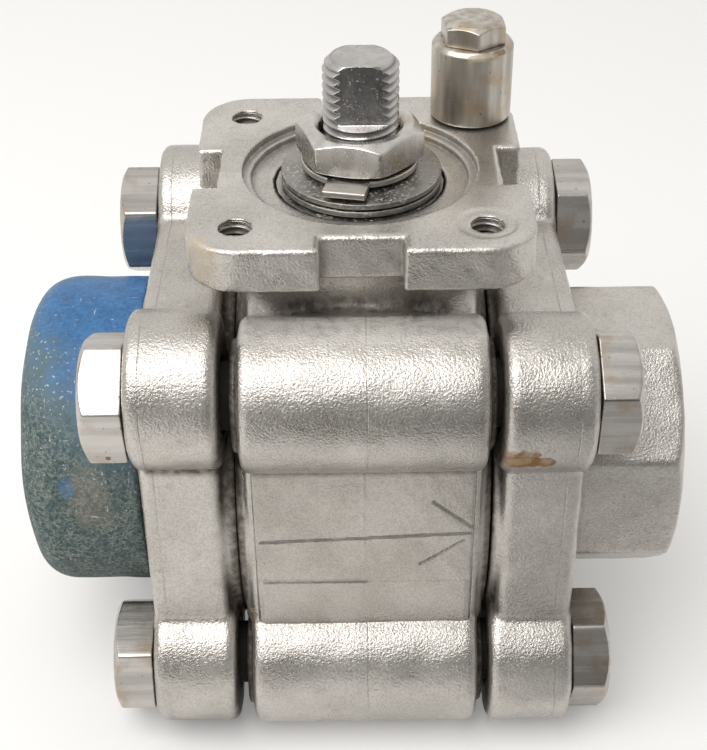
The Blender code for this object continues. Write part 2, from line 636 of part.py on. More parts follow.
def make_stem(parts, cutters, stem_axis):
    """Stem: a thread with two flats on top, a sealed shank, a collar that can't blow out, and a tang."""
    groove = O_RING_SECTION + CONTACT_GAP
    groove_half = O_RING_GROOVE_WIDTH / 2
    profile = [
        (0.0, STEM_TOP),
        (THREAD_RADIUS - STEM_TOP_CHAMFER, STEM_TOP),
        (THREAD_RADIUS, STEM_TOP - STEM_TOP_CHAMFER),
        (THREAD_RADIUS, THREAD_END),
        (STEM_RADIUS, THREAD_END - STEM_THREAD_RELIEF),
        (STEM_RADIUS, O_RING_LEVEL + groove_half),
        (STEM_RADIUS - groove, O_RING_LEVEL + groove_half),
        (STEM_RADIUS - groove, O_RING_LEVEL - groove_half),
        (STEM_RADIUS, O_RING_LEVEL - groove_half),
        (STEM_RADIUS, COLLAR_TOP),
        (COLLAR_RADIUS, COLLAR_TOP),
        (COLLAR_RADIUS, COLLAR_BOTTOM),
        (0.0, COLLAR_BOTTOM),
    ]
    stem = turned("stem", profile, parts, stem_axis, sides=RING_SIDES)
    half = STEM_TANG_THICKNESS / 2
    reach = STEM_TANG_WIDTH / 2
    tang_low = (-half, -reach, SLOT_FLOOR + CONTACT_GAP)
    tang = box_mesh("tang", tang_low, (half, reach, COLLAR_BOTTOM + STEM_COLLAR_HEIGHT / 2))
    combine(stem, place("tang", tang, cutters, stem_axis), "UNION")
    flat = STEM_FLATS / 2
    for name, side in (("front", -1), ("back", 1)):
        near, far = sorted((side * flat, side * STEM_DIAMETER))
        low = (-STEM_DIAMETER, near, FLATS_BOTTOM)
        high = (STEM_DIAMETER, far, STEM_TOP + OVERRUN)
        cutter = place(f"stem_flat_{name}", box_mesh("stem_flat", low, high), cutters, stem_axis)
        combine(stem, cutter, "DIFFERENCE")
    return dress(stem, "stem_stainless")


def make_stem_fittings(parts, cutters, stem_axis):
    """What turns with the stem: two disc springs, a tab washer and the stem nut."""
    for i, name in enumerate(("disc_spring_lower", "disc_spring_upper")):
        rim = SPRING_SEAT + i * SPRING_PITCH
        cone = [
            (RING_INNER, rim + SPRING_CONE + SPRING_THICKNESS),
            (SPRING_RADIUS, rim + SPRING_THICKNESS),
            (SPRING_RADIUS, rim),
            (RING_INNER, rim + SPRING_CONE),
        ]
        dress(turned(name, cone, parts, stem_axis, ring=True, sides=RING_SIDES), "spring_steel")

    top = TAB_WASHER_BOTTOM + TAB_WASHER_THICKNESS
    hole = THREAD_RADIUS + CONTACT_GAP
    flange = ring_profile(hole, TAB_WASHER_DIAMETER / 2, TAB_WASHER_BOTTOM, top)
    washer = turned("tab_washer", flange, parts, stem_axis, ring=True, sides=RING_SIDES)
    tab_start = (hole + TAB_WASHER_DIAMETER / 2) / 2
    tab_low = (tab_start, -TAB_WIDTH / 2, TAB_WASHER_BOTTOM)
    tab = box_mesh("washer_tab", tab_low, (TAB_REACH, TAB_WIDTH / 2, top))
    facing_front = (0.0, 0.0, NUT_TURN - math.pi / 2)
    combine(washer, place("washer_tab", tab, cutters, stem_axis, rotation=facing_front), "UNION")
    dress(washer, "spring_steel")

    nut = hexagon("stem_nut", NUT_ACROSS_FLATS, NUT_BOTTOM, NUT_TOP, cutters, stem_axis, NUT_TURN)
    bore = prism_mesh("nut_bore", hole, NUT_BOTTOM - OVERRUN, NUT_TOP + OVERRUN, RING_SIDES)
    combine(nut, place("nut_bore", bore, cutters, stem_axis), "DIFFERENCE")
    dress(place("stem_nut", finished_mesh(nut), parts, stem_axis), "bolt_stainless")


def make_stem_seals(parts, valve, stem_axis):
    """Seals between stem and body: thrust washer, O-ring, packing rings and the gland follower."""
    washer_bottom = COLLAR_TOP + CONTACT_GAP
    washer = ring_profile(RING_INNER, COLLAR_RADIUS, washer_bottom, washer_bottom + THRUST_WASHER_THICKNESS)
    washer_ring = turned("stem_thrust_washer", washer, parts, valve, ring=True, sides=RING_SIDES)
    dress(washer_ring, "packing_polymer")

    middle = (STEM_RADIUS - O_RING_SECTION / 2, O_RING_LEVEL)
    section = arc(middle, O_RING_SECTION / 2, math.pi, -math.pi, O_RING_STEPS)[:-1]
    dress(turned("stem_o_ring", section, parts, stem_axis, ring=True, sides=RING_SIDES), "seal_rubber")

    crest = (RING_INNER + PACKING_RADIUS) / 2
    bottom = CHAMBER_FLOOR + CONTACT_GAP
    for i, name in enumerate(PACKING_NAMES):
        top = bottom + PACKING_HEIGHT
        ridge = 0.0 if i == len(PACKING_NAMES) - 1 else PACKING_CHEVRON
        groove = 0.0 if i == 0 else PACKING_CHEVRON
        section = [
            (RING_INNER, top),
            (crest, top + ridge),
            (PACKING_RADIUS, top),
            (PACKING_RADIUS, bottom),
            (crest, bottom + groove),
            (RING_INNER, bottom),
        ]
        dress(turned(name, section, parts, valve, ring=True, sides=RING_SIDES), "packing_polymer")
        bottom = top + CONTACT_GAP

    follower = [
        (RING_INNER, FOLLOWER_TOP),
        (SPRING_WELL - CONTACT_GAP, FOLLOWER_TOP),
        (SPRING_WELL - CONTACT_GAP, FOLLOWER_STEP),
        (PACKING_RADIUS, FOLLOWER_STEP),
        (PACKING_RADIUS, FOLLOWER_BOTTOM),
        (RING_INNER, FOLLOWER_BOTTOM),
    ]
    dress(turned("gland_follower", follower, parts, valve, ring=True, sides=RING_SIDES), "spring_steel")


def make_stop(parts, cutters, valve):
    """Stop post: a sleeve held to the pad's back right corner by a hexagon screw."""
    post = empty("stop_post", parts, valve, (HOLE_OFFSET, HOLE_OFFSET, 0.0))
    bore = STOP_SCREW_DIAMETER / 2 + CONTACT_GAP
    sleeve = ring_profile(bore, STOP_SLEEVE_DIAMETER / 2, STOP_BOTTOM, STOP_TOP)
    dress(turned("stop_sleeve", sleeve, parts, post, ring=True, sides=RING_SIDES), "stop_stainless")

    seat = STOP_TOP + CONTACT_GAP
    head_top = seat + STOP_HEAD_HEIGHT
    screw = hexagon("stop_screw", STOP_HEAD_ACROSS_FLATS, seat, head_top, cutters, post, STOP_TURN)
    middle = (seat + head_top) / 2
    core = PAD_HOLE_DIAMETER / 2 - CONTACT_GAP
    tip = PAD_BOTTOM
    shank = [
        (0.0, middle),
        (STOP_SCREW_DIAMETER / 2, middle),
        (STOP_SCREW_DIAMETER / 2, STOP_BOTTOM),
        (core, STOP_BOTTOM),
        (core, tip),
        (0.0, tip),
    ]
    combine(screw, turned("stop_shank", shank, cutters, post, sides=SMALL_SIDES), "UNION")
    dress(place("stop_screw", finished_mesh(screw), parts, post), "stop_stainless")


def make_protective_cap(parts, cap_axis):
    """Plastic cap pushed over the left hub: a cup with a well rounded closed end."""
    centre = (CAP_OUTER - CAP_FILLET, CAP_REACH - CAP_FILLET)
    rounding = arc(centre, CAP_FILLET, math.pi / 2, 0.0)
    cup = [(0.0, CAP_REACH)] + rounding + [
        (CAP_OUTER, CAP_RIM),
        (CAP_INNER, CAP_RIM),
        (CAP_INNER, CAP_FLOOR),
        (0.0, CAP_FLOOR),
    ]
    facing_left = (0.0, -math.pi / 2, 0.0)
    dress(turned("protective_cap", cup, parts, cap_axis, rotation=facing_left), "cap_plastic")


def main():
    """Build every piece of the valve."""
    clear_scene()
    parts = collection("ball_valve")
    cutters = collection("cutters")
    valve = empty("valve", parts, location=CENTRE)
    ball_axis = empty("ball_axis", parts, valve)
    stem_axis = empty("stem_axis", parts, valve)
    cap_axis = empty("cap_axis", parts, valve)
    make_body(parts, cutters, valve)
    make_ends(parts, cutters, valve)
    make_bolts(parts, cutters, valve)
    make_ball(parts, cutters, ball_axis)
    make_stem(parts, cutters, stem_axis)
    make_stem_fittings(parts, cutters, stem_axis)
    make_stem_seals(parts, valve, stem_axis)
    make_stop(parts, cutters, valve)
    make_protective_cap(parts, cap_axis)


main()
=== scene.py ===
"""Three-piece ball valve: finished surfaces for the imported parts, and the studio they are shown in.

Shapes are worked out in millimetres about the ball's centre, with the pipe along X, the front at -Y
and the stem up Z, and go into the frame in metres.
"""

import json
import logging
import math
from collections.abc import Callable, Sequence
from dataclasses import dataclass, replace
from enum import Enum

import bmesh
import bpy
import numpy as np
from mathutils import Matrix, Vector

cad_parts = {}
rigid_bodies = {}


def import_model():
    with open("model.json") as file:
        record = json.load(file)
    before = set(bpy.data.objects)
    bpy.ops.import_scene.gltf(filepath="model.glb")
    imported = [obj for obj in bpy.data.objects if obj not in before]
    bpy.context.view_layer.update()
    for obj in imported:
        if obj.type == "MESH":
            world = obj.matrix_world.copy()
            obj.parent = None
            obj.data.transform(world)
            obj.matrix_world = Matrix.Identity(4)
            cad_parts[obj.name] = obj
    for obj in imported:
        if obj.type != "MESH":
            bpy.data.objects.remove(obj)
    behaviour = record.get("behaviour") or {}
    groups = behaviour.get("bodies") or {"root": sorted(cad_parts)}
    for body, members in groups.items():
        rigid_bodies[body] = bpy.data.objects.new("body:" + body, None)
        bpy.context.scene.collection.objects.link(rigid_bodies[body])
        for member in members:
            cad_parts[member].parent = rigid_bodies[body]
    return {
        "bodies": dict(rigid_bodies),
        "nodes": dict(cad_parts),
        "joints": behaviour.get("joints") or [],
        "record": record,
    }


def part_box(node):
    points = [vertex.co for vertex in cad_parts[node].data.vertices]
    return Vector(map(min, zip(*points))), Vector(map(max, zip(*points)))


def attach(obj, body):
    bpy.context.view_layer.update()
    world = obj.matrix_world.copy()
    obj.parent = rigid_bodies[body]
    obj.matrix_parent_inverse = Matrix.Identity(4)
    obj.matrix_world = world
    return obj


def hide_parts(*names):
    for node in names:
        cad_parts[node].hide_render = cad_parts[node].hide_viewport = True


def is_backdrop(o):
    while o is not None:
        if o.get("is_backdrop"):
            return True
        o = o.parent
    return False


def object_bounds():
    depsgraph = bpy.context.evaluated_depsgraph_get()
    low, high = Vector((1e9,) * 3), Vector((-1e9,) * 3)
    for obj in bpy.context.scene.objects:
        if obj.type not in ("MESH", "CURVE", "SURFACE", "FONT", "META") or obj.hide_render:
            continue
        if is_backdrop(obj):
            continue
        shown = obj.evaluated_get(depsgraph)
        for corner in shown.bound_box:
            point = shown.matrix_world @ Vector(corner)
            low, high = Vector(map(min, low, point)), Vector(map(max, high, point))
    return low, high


Array = np.ndarray
Field = Callable[[Array, Array, Array], Array]
Colour = tuple[float, float, float]
Pair = tuple[float, float]
Point = tuple[float, float, float]
Socket = bpy.types.NodeSocket
Material = bpy.types.Material

LOG = logging.getLogger("ball_valve")
MM = 0.001
TURN = 2 * math.pi
WELD = 1e-6
TINY = 1e-9
NO_AREA = 1e-20
NEWTON_STEPS = 3
LEAST_SLOPE = 0.1
CUT_SHARE = 0.45
HEX_STEPS = (0.0, 0.5, 1.0, 1.5, 2.2, 3.5, 6.0, 10.0, 15.0, 20.0, 25.0)
HEX_CORNER = 1.143
HEX_WEAR = 0.012
THREAD_ROOT = 0.9
THREAD_FLANK = 0.74
MIX_FIRST, MIX_SECOND, MIX_RESULT = 6, 7, 2
STAIN_RAGGED = 0.9
STAIN_EDGE = 0.40
STAIN_FADE = 0.12


class Side(Enum):
    """End of the pipe, by the sign of its X."""

    LEFT = -1
    RIGHT = 1


class Body(Enum):
    """Bodies of the frame that pieces ride on."""

    VALVE = "valve_body"
    STEM = "stem"
    BALL = "ball"
    CAP = "protective_cap"


class Slot(Enum):
    """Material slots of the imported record."""

    CAST = "cast_stainless"
    BOLT = "bolt_stainless"
    STEM = "stem_stainless"
    BALL = "ball_stainless"
    SPRING = "spring_steel"
    STOP = "stop_stainless"
    SEAT = "seat_polymer"
    PACKING = "packing_polymer"
    RUBBER = "seal_rubber"
    CAP = "cap_plastic"


@dataclass
class Skin:
    """Surface of a piece, in millimetres about the ball's centre.

    Attributes:
        points: Points, one row each.
        faces: Four point numbers a face.
        grime: Darkness at each point, from 0 to 1, where the finish shows it: painted shade in corners,
            gaps and hollows, with some grime.
    """

    points: Array
    faces: Array
    grime: Array | None = None

    @classmethod
    def grid(cls, points: Array, closed_rows: bool = False, closed_columns: bool = False) -> "Skin":
        """Faces between neighbours in a grid of points.

        Args:
            points: Grid of points, rows by columns by three.
            closed_rows: Whether the last row meets the first.
            closed_columns: Whether the last column meets the first.

        Returns:
            The surface.
        """
        rows, columns = points.shape[:2]
        number = np.arange(rows * columns).reshape(rows, columns)
        if closed_rows:
            number = np.concatenate([number, number[:1]], axis=0)
        if closed_columns:
            number = np.concatenate([number, number[:, :1]], axis=1)
        corners = [number[:-1, :-1], number[1:, :-1], number[1:, 1:], number[:-1, 1:]]
        return cls(points.reshape(-1, 3), np.stack(corners, axis=-1).reshape(-1, 4))

    @classmethod
    def joined(cls, skins: Sequence["Skin"]) -> "Skin":
        """One surface made of several.

        Args:
            skins: Surfaces without grime.

        Returns:
            All their points and faces.
        """
        starts = np.cumsum([0] + [len(skin.points) for skin in skins[:-1]])
        faces = [skin.faces + start for skin, start in zip(skins, starts)]
        return cls(np.concatenate([skin.points for skin in skins]), np.concatenate(faces))

    def moved(self, x: float, y: float, z: float) -> "Skin":
        """Surface shifted by the given millimetres."""
        return Skin(self.points + (x, y, z), self.faces, self.grime)

    def along_pipe(self, side: Side) -> "Skin":
        """Lay a surface drawn about Z along the pipe, its height pointing outwards.

        Args:
            side: End of the pipe that it points to.

        Returns:
            The surface with (x, y, z) at (z, x, y), and half a turn about Z more on the left.
        """
        laid = self.points[:, [2, 0, 1]]
        if side is Side.LEFT:
            laid = laid * (-1.0, -1.0, 1.0)
        return Skin(laid, self.faces, self.grime)


def blend_min(a: Array, b: Array, reach: float) -> Array:
    """Union of two distances with a fillet: min(a, b) - h*h*reach/4, h = max(1 - |a - b|/reach, 0)."""
    close = np.maximum(1 - np.abs(a - b) / reach, 0)
    return np.minimum(a, b) - close * close * reach / 4


def blend_max(a: Array, b: Array, reach: float) -> Array:
    """Overlap of two distances with a rounded edge, the fillet of blend_min turned inside out."""
    return -blend_min(-a, -b, reach)


def rounded_pair(a: Array, b: Array, rounding: Array | float) -> Array:
    """Overlap of two distances whose common edge has a radius.

    With p = a + r and q = b + r the distance is min(max(p, q), 0) + |(max(p, 0), max(q, 0))| - r.

    Args:
        a: First distance.
        b: Second distance.
        rounding: Radius r of the edge.

    Returns:
        Distance to the rounded overlap.
    """
    p, q = a + rounding, b + rounding
    outside = np.hypot(np.maximum(p, 0), np.maximum(q, 0))
    return np.minimum(np.maximum(p, q), 0) + outside - rounding


def drum(radial: Array, along: Array, radius: float, half: float, rounding: float) -> Array:
    """Distance to a round bar of half length half, with rounded end edges."""
    return rounded_pair(radial - radius, np.abs(along) - half, rounding)


def block(x: Array, y: Array, z: Array, half: Point, rounding: float) -> Array:
    """Distance to a box about the origin with rounded edges, as rounded_pair in three directions.

    Args:
        x: Place along the pipe.
        y: Place to the back.
        z: Place up the stem.
        half: Half of the box's size each way.
        rounding: Radius of its edges.

    Returns:
        Distance, negative inside.
    """
    p, q, s = (np.abs(place) - reach + rounding for place, reach in zip((x, y, z), half))
    outside = np.sqrt(np.maximum(p, 0) ** 2 + np.maximum(q, 0) ** 2 + np.maximum(s, 0) ** 2)
    return np.minimum(np.maximum(np.maximum(p, q), s), 0) + outside - rounding


def ripple(x: Array, y: Array, z: Array, size: float) -> Array:
    """Unevenness of a cast surface: the mean of three sine waves, each bent by a slower one.

    Args:
        x: Place along the pipe.
        y: Place to the back.
        z: Place up the stem.
        size: Length of a wave.

    Returns:
        Height from -1 to 1.
    """
    k = TURN / size
    first = np.sin(k * (x + 0.6 * y) + 1.9 * np.sin(0.55 * k * z))
    second = np.sin(k * (0.8 * z - 0.5 * x) + 1.7 * np.sin(0.62 * k * y))
    third = np.sin(1.7 * k * (0.7 * y + 0.5 * z) + 1.3 * np.sin(0.8 * k * x))
    return (first + second + third) / 3


def gradient(shape: Field, points: Array, step: float = 0.05) -> Array:
    """Slope of a field at points: (f(p + s) - f(p - s)) / 2s along each axis.

    Args:
        shape: Field f.
        points: Points p, one row each.
        step: Step s.

    Returns:
        Slopes, one row for each point.
    """
    slopes = []
    for axis in np.eye(3) * step:
        ahead, behind = points + axis, points - axis
        slopes.append((shape(*ahead.T) - shape(*behind.T)) / (2 * step))
    return np.stack(slopes, axis=1)


def surface_net(shape: Field, low: Point, high: Point, cell: float) -> Skin:
    """Closed surface on which a distance field is zero.

    The field is worked out at the corners of equal cells. Every cell that the surface crosses gets one
    point, the mean of the crossings on its edges, and every crossed edge gets a face between the four
    cells around it. Newton steps along the slope then draw the points onto the surface.

    Args:
        shape: Distance field, negative inside.
        low: Lowest corner of the space searched.
        high: Highest corner of the space searched.
        cell: Width of a cell.

    Returns:
        The surface, its faces outwards.
    """
    axes = [np.arange(start - cell, end + 2 * cell, cell) for start, end in zip(low, high)]
    counts = tuple(len(axis) for axis in axes)
    values = np.broadcast_to(shape(*np.meshgrid(*axes, indexing="ij", sparse=True)), counts)
    inside = values < 0
    unit = np.eye(3, dtype=int)
    edges = []
    for axis in range(3):
        near = [slice(None)] * 3
        far = [slice(None)] * 3
        near[axis], far[axis] = slice(None, -1), slice(1, None)
        index = np.argwhere(inside[tuple(near)] != inside[tuple(far)])
        start = values[tuple(index.T)]
        end = values[tuple((index + unit[axis]).T)]
        crossing = np.stack([axes[i][index[:, i]] for i in range(3)], axis=1)
        crossing[:, axis] += cell * start / (start - end)
        step_u, step_v = unit[(axis + 1) % 3], unit[(axis + 2) % 3]
        around = np.stack([index - step_u - step_v, index - step_v, index, index - step_u], axis=1)
        around[start >= 0] = around[start >= 0][:, ::-1]
        edges.append((around, crossing))
    cells = np.concatenate([around.reshape(-1, 3) for around, _ in edges])
    crossings = np.concatenate([np.repeat(crossing, 4, axis=0) for _, crossing in edges])
    _, owner = np.unique(np.ravel_multi_index(tuple(cells.T), counts), return_inverse=True)
    share = np.bincount(owner)
    points = np.stack([np.bincount(owner, crossings[:, i]) / share for i in range(3)], axis=1)
    for _ in range(NEWTON_STEPS):
        slope = gradient(shape, points)
        steep = np.maximum((slope**2).sum(1, keepdims=True), LEAST_SLOPE)
        step = shape(*points.T)[:, None] * slope / steep
        points = points - np.clip(step, -cell / 2, cell / 2)
    return Skin(points, owner.reshape(-1, 4))


def softened(profile: Array, cut: float | Array, closed: bool = False, steps: int = 4) -> Array:
    """Profile with its corners rounded.

    Corner P becomes the curve (1-t)^2 A + 2t(1-t) P + t^2 C from a point A before it to a point C after
    it, each cut away from it and no further than CUT_SHARE of the way to the next corner.

    Args:
        profile: Corners, any number of profiles by corners by two.
        cut: Distance cut off at each corner.
        closed: Whether the last corner meets the first.
        steps: Straight pieces in each curve.

    Returns:
        Profiles with steps + 1 points for each corner.
    """
    before = np.roll(profile, 1, axis=-2) - profile
    after = np.roll(profile, -1, axis=-2) - profile
    back, ahead = (np.maximum(np.linalg.norm(v, axis=-1, keepdims=True), TINY) for v in (before, after))
    reach = np.broadcast_to(np.asarray(cut, float), profile.shape[:-1])[..., None]
    reach = np.minimum(reach, CUT_SHARE * np.minimum(back, ahead))
    if not closed:
        reach[..., [0, -1], :] = 0
    t = np.linspace(0, 1, steps + 1)[:, None]
    start = (profile + before / back * reach)[..., None, :]
    end = (profile + after / ahead * reach)[..., None, :]
    curve = (1 - t) ** 2 * start + 2 * t * (1 - t) * profile[..., None, :] + t**2 * end
    return curve.reshape(*profile.shape[:-2], -1, 2)


def profiles(rows: Sequence[tuple[Array | float, Array | float]], like: Array) -> Array:
    """One profile for each angle, of corners that stay or that follow the angle.

    Args:
        rows: Radius and height of each corner, as a number or as one for each angle.
        like: Any array with one value for each angle.

    Returns:
        Profiles, angles by corners by two.
    """
    corners = [np.stack(np.broadcast_arrays(r, h, like)[:2], axis=-1) for r, h in rows]
    return np.stack(corners, axis=1)


def spin(profile: Array, angles: Array, closed: bool = False) -> Skin:
    """Surface of a profile of (radius r, height h) carried round Z: (r cos a, r sin a, h).

    Args:
        profile: Profile, or one for each angle.
        angles: Angles a, once round.
        closed: Whether the profile closes on itself, as a ring's does.

    Returns:
        The surface.
    """
    a = angles[:, None]
    r, h = np.broadcast_to(profile, (len(angles), *profile.shape[-2:])).transpose(2, 0, 1)
    return Skin.grid(np.stack([r * np.cos(a), r * np.sin(a), h], axis=-1), True, closed)


def round_angles(count: int) -> Array:
    """Equal angles once round."""
    return np.arange(count) * TURN / count


def hex_angles(corner: float) -> Array:
    """Angles once round, close together at the six corners of a hexagon.

    Args:
        corner: Angle of one corner.

    Returns:
        Angles, at HEX_STEPS degrees to both sides of each corner and at the middle of each flat.
    """
    half = np.radians(HEX_STEPS)
    one = np.concatenate([-half[:0:-1], half, [math.pi / 6]])
    return (corner + np.arange(6)[:, None] * math.pi / 3 + one).ravel()


def hex_radius(angles: Array, flats: float, corner: float) -> Array:
    """Distance from axis to side of a hexagon: flats/2 / cos(angle from the flat), its corners worn.

    Args:
        angles: Angles about the axis.
        flats: Distance across the flats.
        corner: Angle of one corner.

    Returns:
        Radius at each angle.
    """
    from_corner = np.abs((angles - corner + math.pi / 6) % (math.pi / 3) - math.pi / 6)
    sharp = flats / 2 / np.cos(math.pi / 6 - from_corner)
    return blend_min(sharp, np.full_like(sharp, flats / 2 * HEX_CORNER), flats * HEX_WEAR)


def thread_wave(turns: Array) -> Array:
    """Height of a thread from 0 at its root to 1 at its crest, with flats on both, over one turn."""
    from_crest = np.abs(2 * (turns % 1.0) - 1)
    return np.clip((THREAD_ROOT - from_crest) / THREAD_FLANK, 0, 1)


def segment_distance(x: Array, z: Array, start: Pair, end: Pair) -> Array:
    """Distance in a plane from points to the straight line between two ends.

    Args:
        x: Place along the pipe.
        z: Place up the stem.
        start: First end.
        end: Second end.

    Returns:
        Distance to the nearest place on the line, at the share t of it clipped to 0 to 1.
    """
    along = np.subtract(end, start)
    t = np.clip(((x - start[0]) * along[0] + (z - start[1]) * along[1]) / (along @ along), 0, 1)
    return np.hypot(x - start[0] - t * along[0], z - start[1] - t * along[1])


def smooth_step(value: Array, low: float, high: float) -> Array:
    """Rise from 0 at low to 1 at high, level at both ends: t*t*(3 - 2t)."""
    t = np.clip((value - low) / (high - low), 0, 1)
    return t * t * (3 - 2 * t)


class Graph:
    """Nodes of one procedural material, which work in millimetres about the ball's centre."""

    def __init__(self, name: str, centre: Array) -> None:
        """Start a material.

        Args:
            name: Name of the material.
            centre: Ball's centre in the frame, in metres.
        """
        self.material = bpy.data.materials.new(name)
        self.material.use_nodes = True
        self.tree = self.material.node_tree
        self.shader = self.tree.nodes["Principled BSDF"]
        where = self.add("ShaderNodeTexCoord").outputs["Object"]
        self.place = self.vector("MULTIPLY_ADD", where, (1 / MM,) * 3, tuple(-centre / MM))

    def add(self, kind: str, *values: object, **settings: object) -> bpy.types.Node:
        """Add a node.

        Args:
            kind: Kind of node.
            *values: What its first inputs are fed, in order.
            **settings: Its settings.

        Returns:
            The node.
        """
        node = self.tree.nodes.new(kind)
        for key, value in settings.items():
            setattr(node, key, value)
        for socket, value in zip(node.inputs, values):
            self.feed(socket, value)
        return node

    def feed(self, socket: Socket, value: object) -> None:
        """Link a socket to another, or set its value.

        Args:
            socket: Input to feed.
            value: Output to link, or a number, vector or colour.
        """
        if isinstance(value, Socket):
            self.tree.links.new(value, socket)
        elif isinstance(value, tuple) and socket.type == "RGBA":
            socket.default_value = (*value, 1.0)
        else:
            socket.default_value = value

    def math(self, operation: str, *values: object, clamp: bool = False) -> Socket:
        """Number worked out from numbers or sockets by the named operation."""
        return self.add("ShaderNodeMath", *values, operation=operation, use_clamp=clamp).outputs[0]

    def vector(self, operation: str, *values: object) -> Socket:
        """Vector, or the number that a distance or dot product is, by the named operation."""
        node = self.add("ShaderNodeVectorMath", *values, operation=operation)
        return node.outputs["Value" if operation in ("DISTANCE", "DOT_PRODUCT") else "Vector"]

    def axis(self, name: str) -> Socket:
        """Place along X, Y or Z."""
        return self.add("ShaderNodeSeparateXYZ", self.place).outputs[name]

    def noise(self, size: float, detail: float = 2.0, stretch: Point = (1.0, 1.0, 1.0)) -> Socket:
        """Cloudy value about 0.5.

        Args:
            size: Size of its lumps in millimetres.
            detail: Finer layers on them.
            stretch: Less than 1 in a direction in which the lumps are longer.

        Returns:
            The value.
        """
        scaled = self.vector("MULTIPLY", self.place, tuple(part / size for part in stretch))
        node = self.add("ShaderNodeTexNoise", scaled)
        node.inputs["Scale"].default_value = 1.0
        node.inputs["Detail"].default_value = detail
        return node.outputs["Fac"]

    def ramp(self, value: Socket, low: float, high: float) -> Socket:
        """Smooth rise from 0 at low to 1 at high, or fall where high is the smaller."""
        node = self.add("ShaderNodeMapRange", value, low, high, interpolation_type="SMOOTHSTEP")
        return node.outputs["Result"]

    def span(self, value: Socket, low: float, high: float) -> Socket:
        """Value from 0 to 1 carried to the range from low to high."""
        return self.math("MULTIPLY_ADD", value, high - low, low)

    def sway(self, value: Socket, width: float, base: object) -> Socket:
        """Base moved up and down by a value about 0.5: base + width * (value - 0.5)."""
        return self.math("MULTIPLY_ADD", self.math("SUBTRACT", value, 0.5), width, base)

    def mix(self, factor: object, first: object, second: object) -> Socket:
        """Mix two colours.

        Args:
            factor: Share of the second one, from 0 to 1.
            first: First colour.
            second: Second colour.

        Returns:
            The colour between them.
        """
        node = self.add("ShaderNodeMix", factor, data_type="RGBA")
        for number, value in ((MIX_FIRST, first), (MIX_SECOND, second)):
            self.feed(node.inputs[number], value)
        return node.outputs[MIX_RESULT]

    def near(self, start: Point, end: Point, reach: float) -> Socket:
        """Closeness to the straight line between two ends.

        Args:
            start: First end.
            end: Second end.
            reach: Distance at which it is 0.

        Returns:
            One on the line, falling smoothly to 0 at reach.
        """
        along = np.subtract(end, start)
        span = max(float(along @ along), TINY)
        reached = self.vector("DOT_PRODUCT", self.vector("SUBTRACT", self.place, start), tuple(along))
        share = self.math("MULTIPLY", reached, 1 / span, clamp=True)
        foot = self.vector("MULTIPLY_ADD", tuple(along), share, start)
        return self.ramp(self.vector("DISTANCE", self.place, foot), reach, 0.0)

    def held(self, name: str) -> Socket:
        """Value that the mesh holds at its points."""
        return self.add("ShaderNodeAttribute", attribute_name=name).outputs["Fac"]

    def bump(self, height: Socket, depth: float) -> None:
        """Roughen the surface.

        Args:
            height: Height from 0 to 1.
            depth: Millimetres that a height of 1 stands for.
        """
        node = self.add("ShaderNodeBump")
        node.inputs["Strength"].default_value = 1.0
        node.inputs["Distance"].default_value = depth * MM
        self.feed(node.inputs["Height"], height)
        self.feed(self.shader.inputs["Normal"], node.outputs["Normal"])

    def whiten(self, share: float) -> None:
        """Lift the surface towards white where the camera, a reflection or glass sees it.

        Args:
            share: Share of white.
        """
        path = self.add("ShaderNodeLightPath").outputs
        seen = self.math("MAXIMUM", path["Is Camera Ray"], path["Is Glossy Ray"])
        seen = self.math("MAXIMUM", seen, path["Is Transmission Ray"])
        white = self.add("ShaderNodeEmission").outputs[0]
        lifted = self.math("MULTIPLY", seen, share)
        mixed = self.add("ShaderNodeMixShader", lifted, self.shader.outputs[0], white)
        self.feed(self.tree.nodes["Material Output"].inputs["Surface"], mixed.outputs[0])

    def shade(self, **inputs: object) -> Material:
        """Feed the shader.

        Args:
            **inputs: What each of its sockets is fed, by its name with _ for a space.

        Returns:
            The material.
        """
        for name, value in inputs.items():
            self.feed(self.shader.inputs[name.replace("_", " ")], value)
        return self.material


@dataclass(frozen=True)
class Stain:
    """Coloured patch or streak on a surface.

    Attributes:
        point: Its middle, or its start if it has an end.
        reach: Its radius.
        colour: Its colour.
        strength: Share of the metal that it hides.
        end: Other end of a streak.
        soft: How many times wider than usual its edge fades.
    """

    point: Point
    reach: float
    colour: Colour
    strength: float
    end: Point | None = None
    soft: float = 1.0

    def amount(self, g: Graph) -> Socket:
        """Share of the metal hidden at each place: a blot with a ragged edge, fainter in blotches.

        Args:
            g: Nodes of the material that it is on.

        Returns:
            Share from 0 to strength.
        """
        spread = g.near(self.point, self.end or self.point, self.reach)
        ragged = g.sway(g.noise(0.9, 4.0), STAIN_RAGGED, spread)
        fade = STAIN_FADE * self.soft
        blot = g.ramp(ragged, STAIN_EDGE - fade, STAIN_EDGE + fade)
        blotches = g.ramp(g.noise(1.7, 2.0), 0.3, 0.6)
        return g.math("MULTIPLY", blot, g.span(blotches, 0.6 * self.strength, self.strength))


RUST = (0.18, 0.080, 0.003)
TARNISH = (0.42, 0.33, 0.20)
SMUDGE = (0.22, 0.20, 0.18)
DUST = (0.60, 0.57, 0.53)
GRIT = (0.50, 0.46, 0.40)


def stained(g: Graph, stains: Sequence[Stain], colour: Socket, cover: Socket) -> tuple[Socket, Socket]:
    """Lay stains over a metal.

    Args:
        g: Nodes of its material.
        stains: Stains, the lowest first.
        colour: Colour below them.
        cover: Share of the metal that is hidden already.

    Returns:
        Colour and hidden share with the stains.
    """
    for stain in stains:
        amount = stain.amount(g)
        colour = g.mix(amount, colour, stain.colour)
        cover = g.math("MAXIMUM", cover, amount)
    return colour, cover


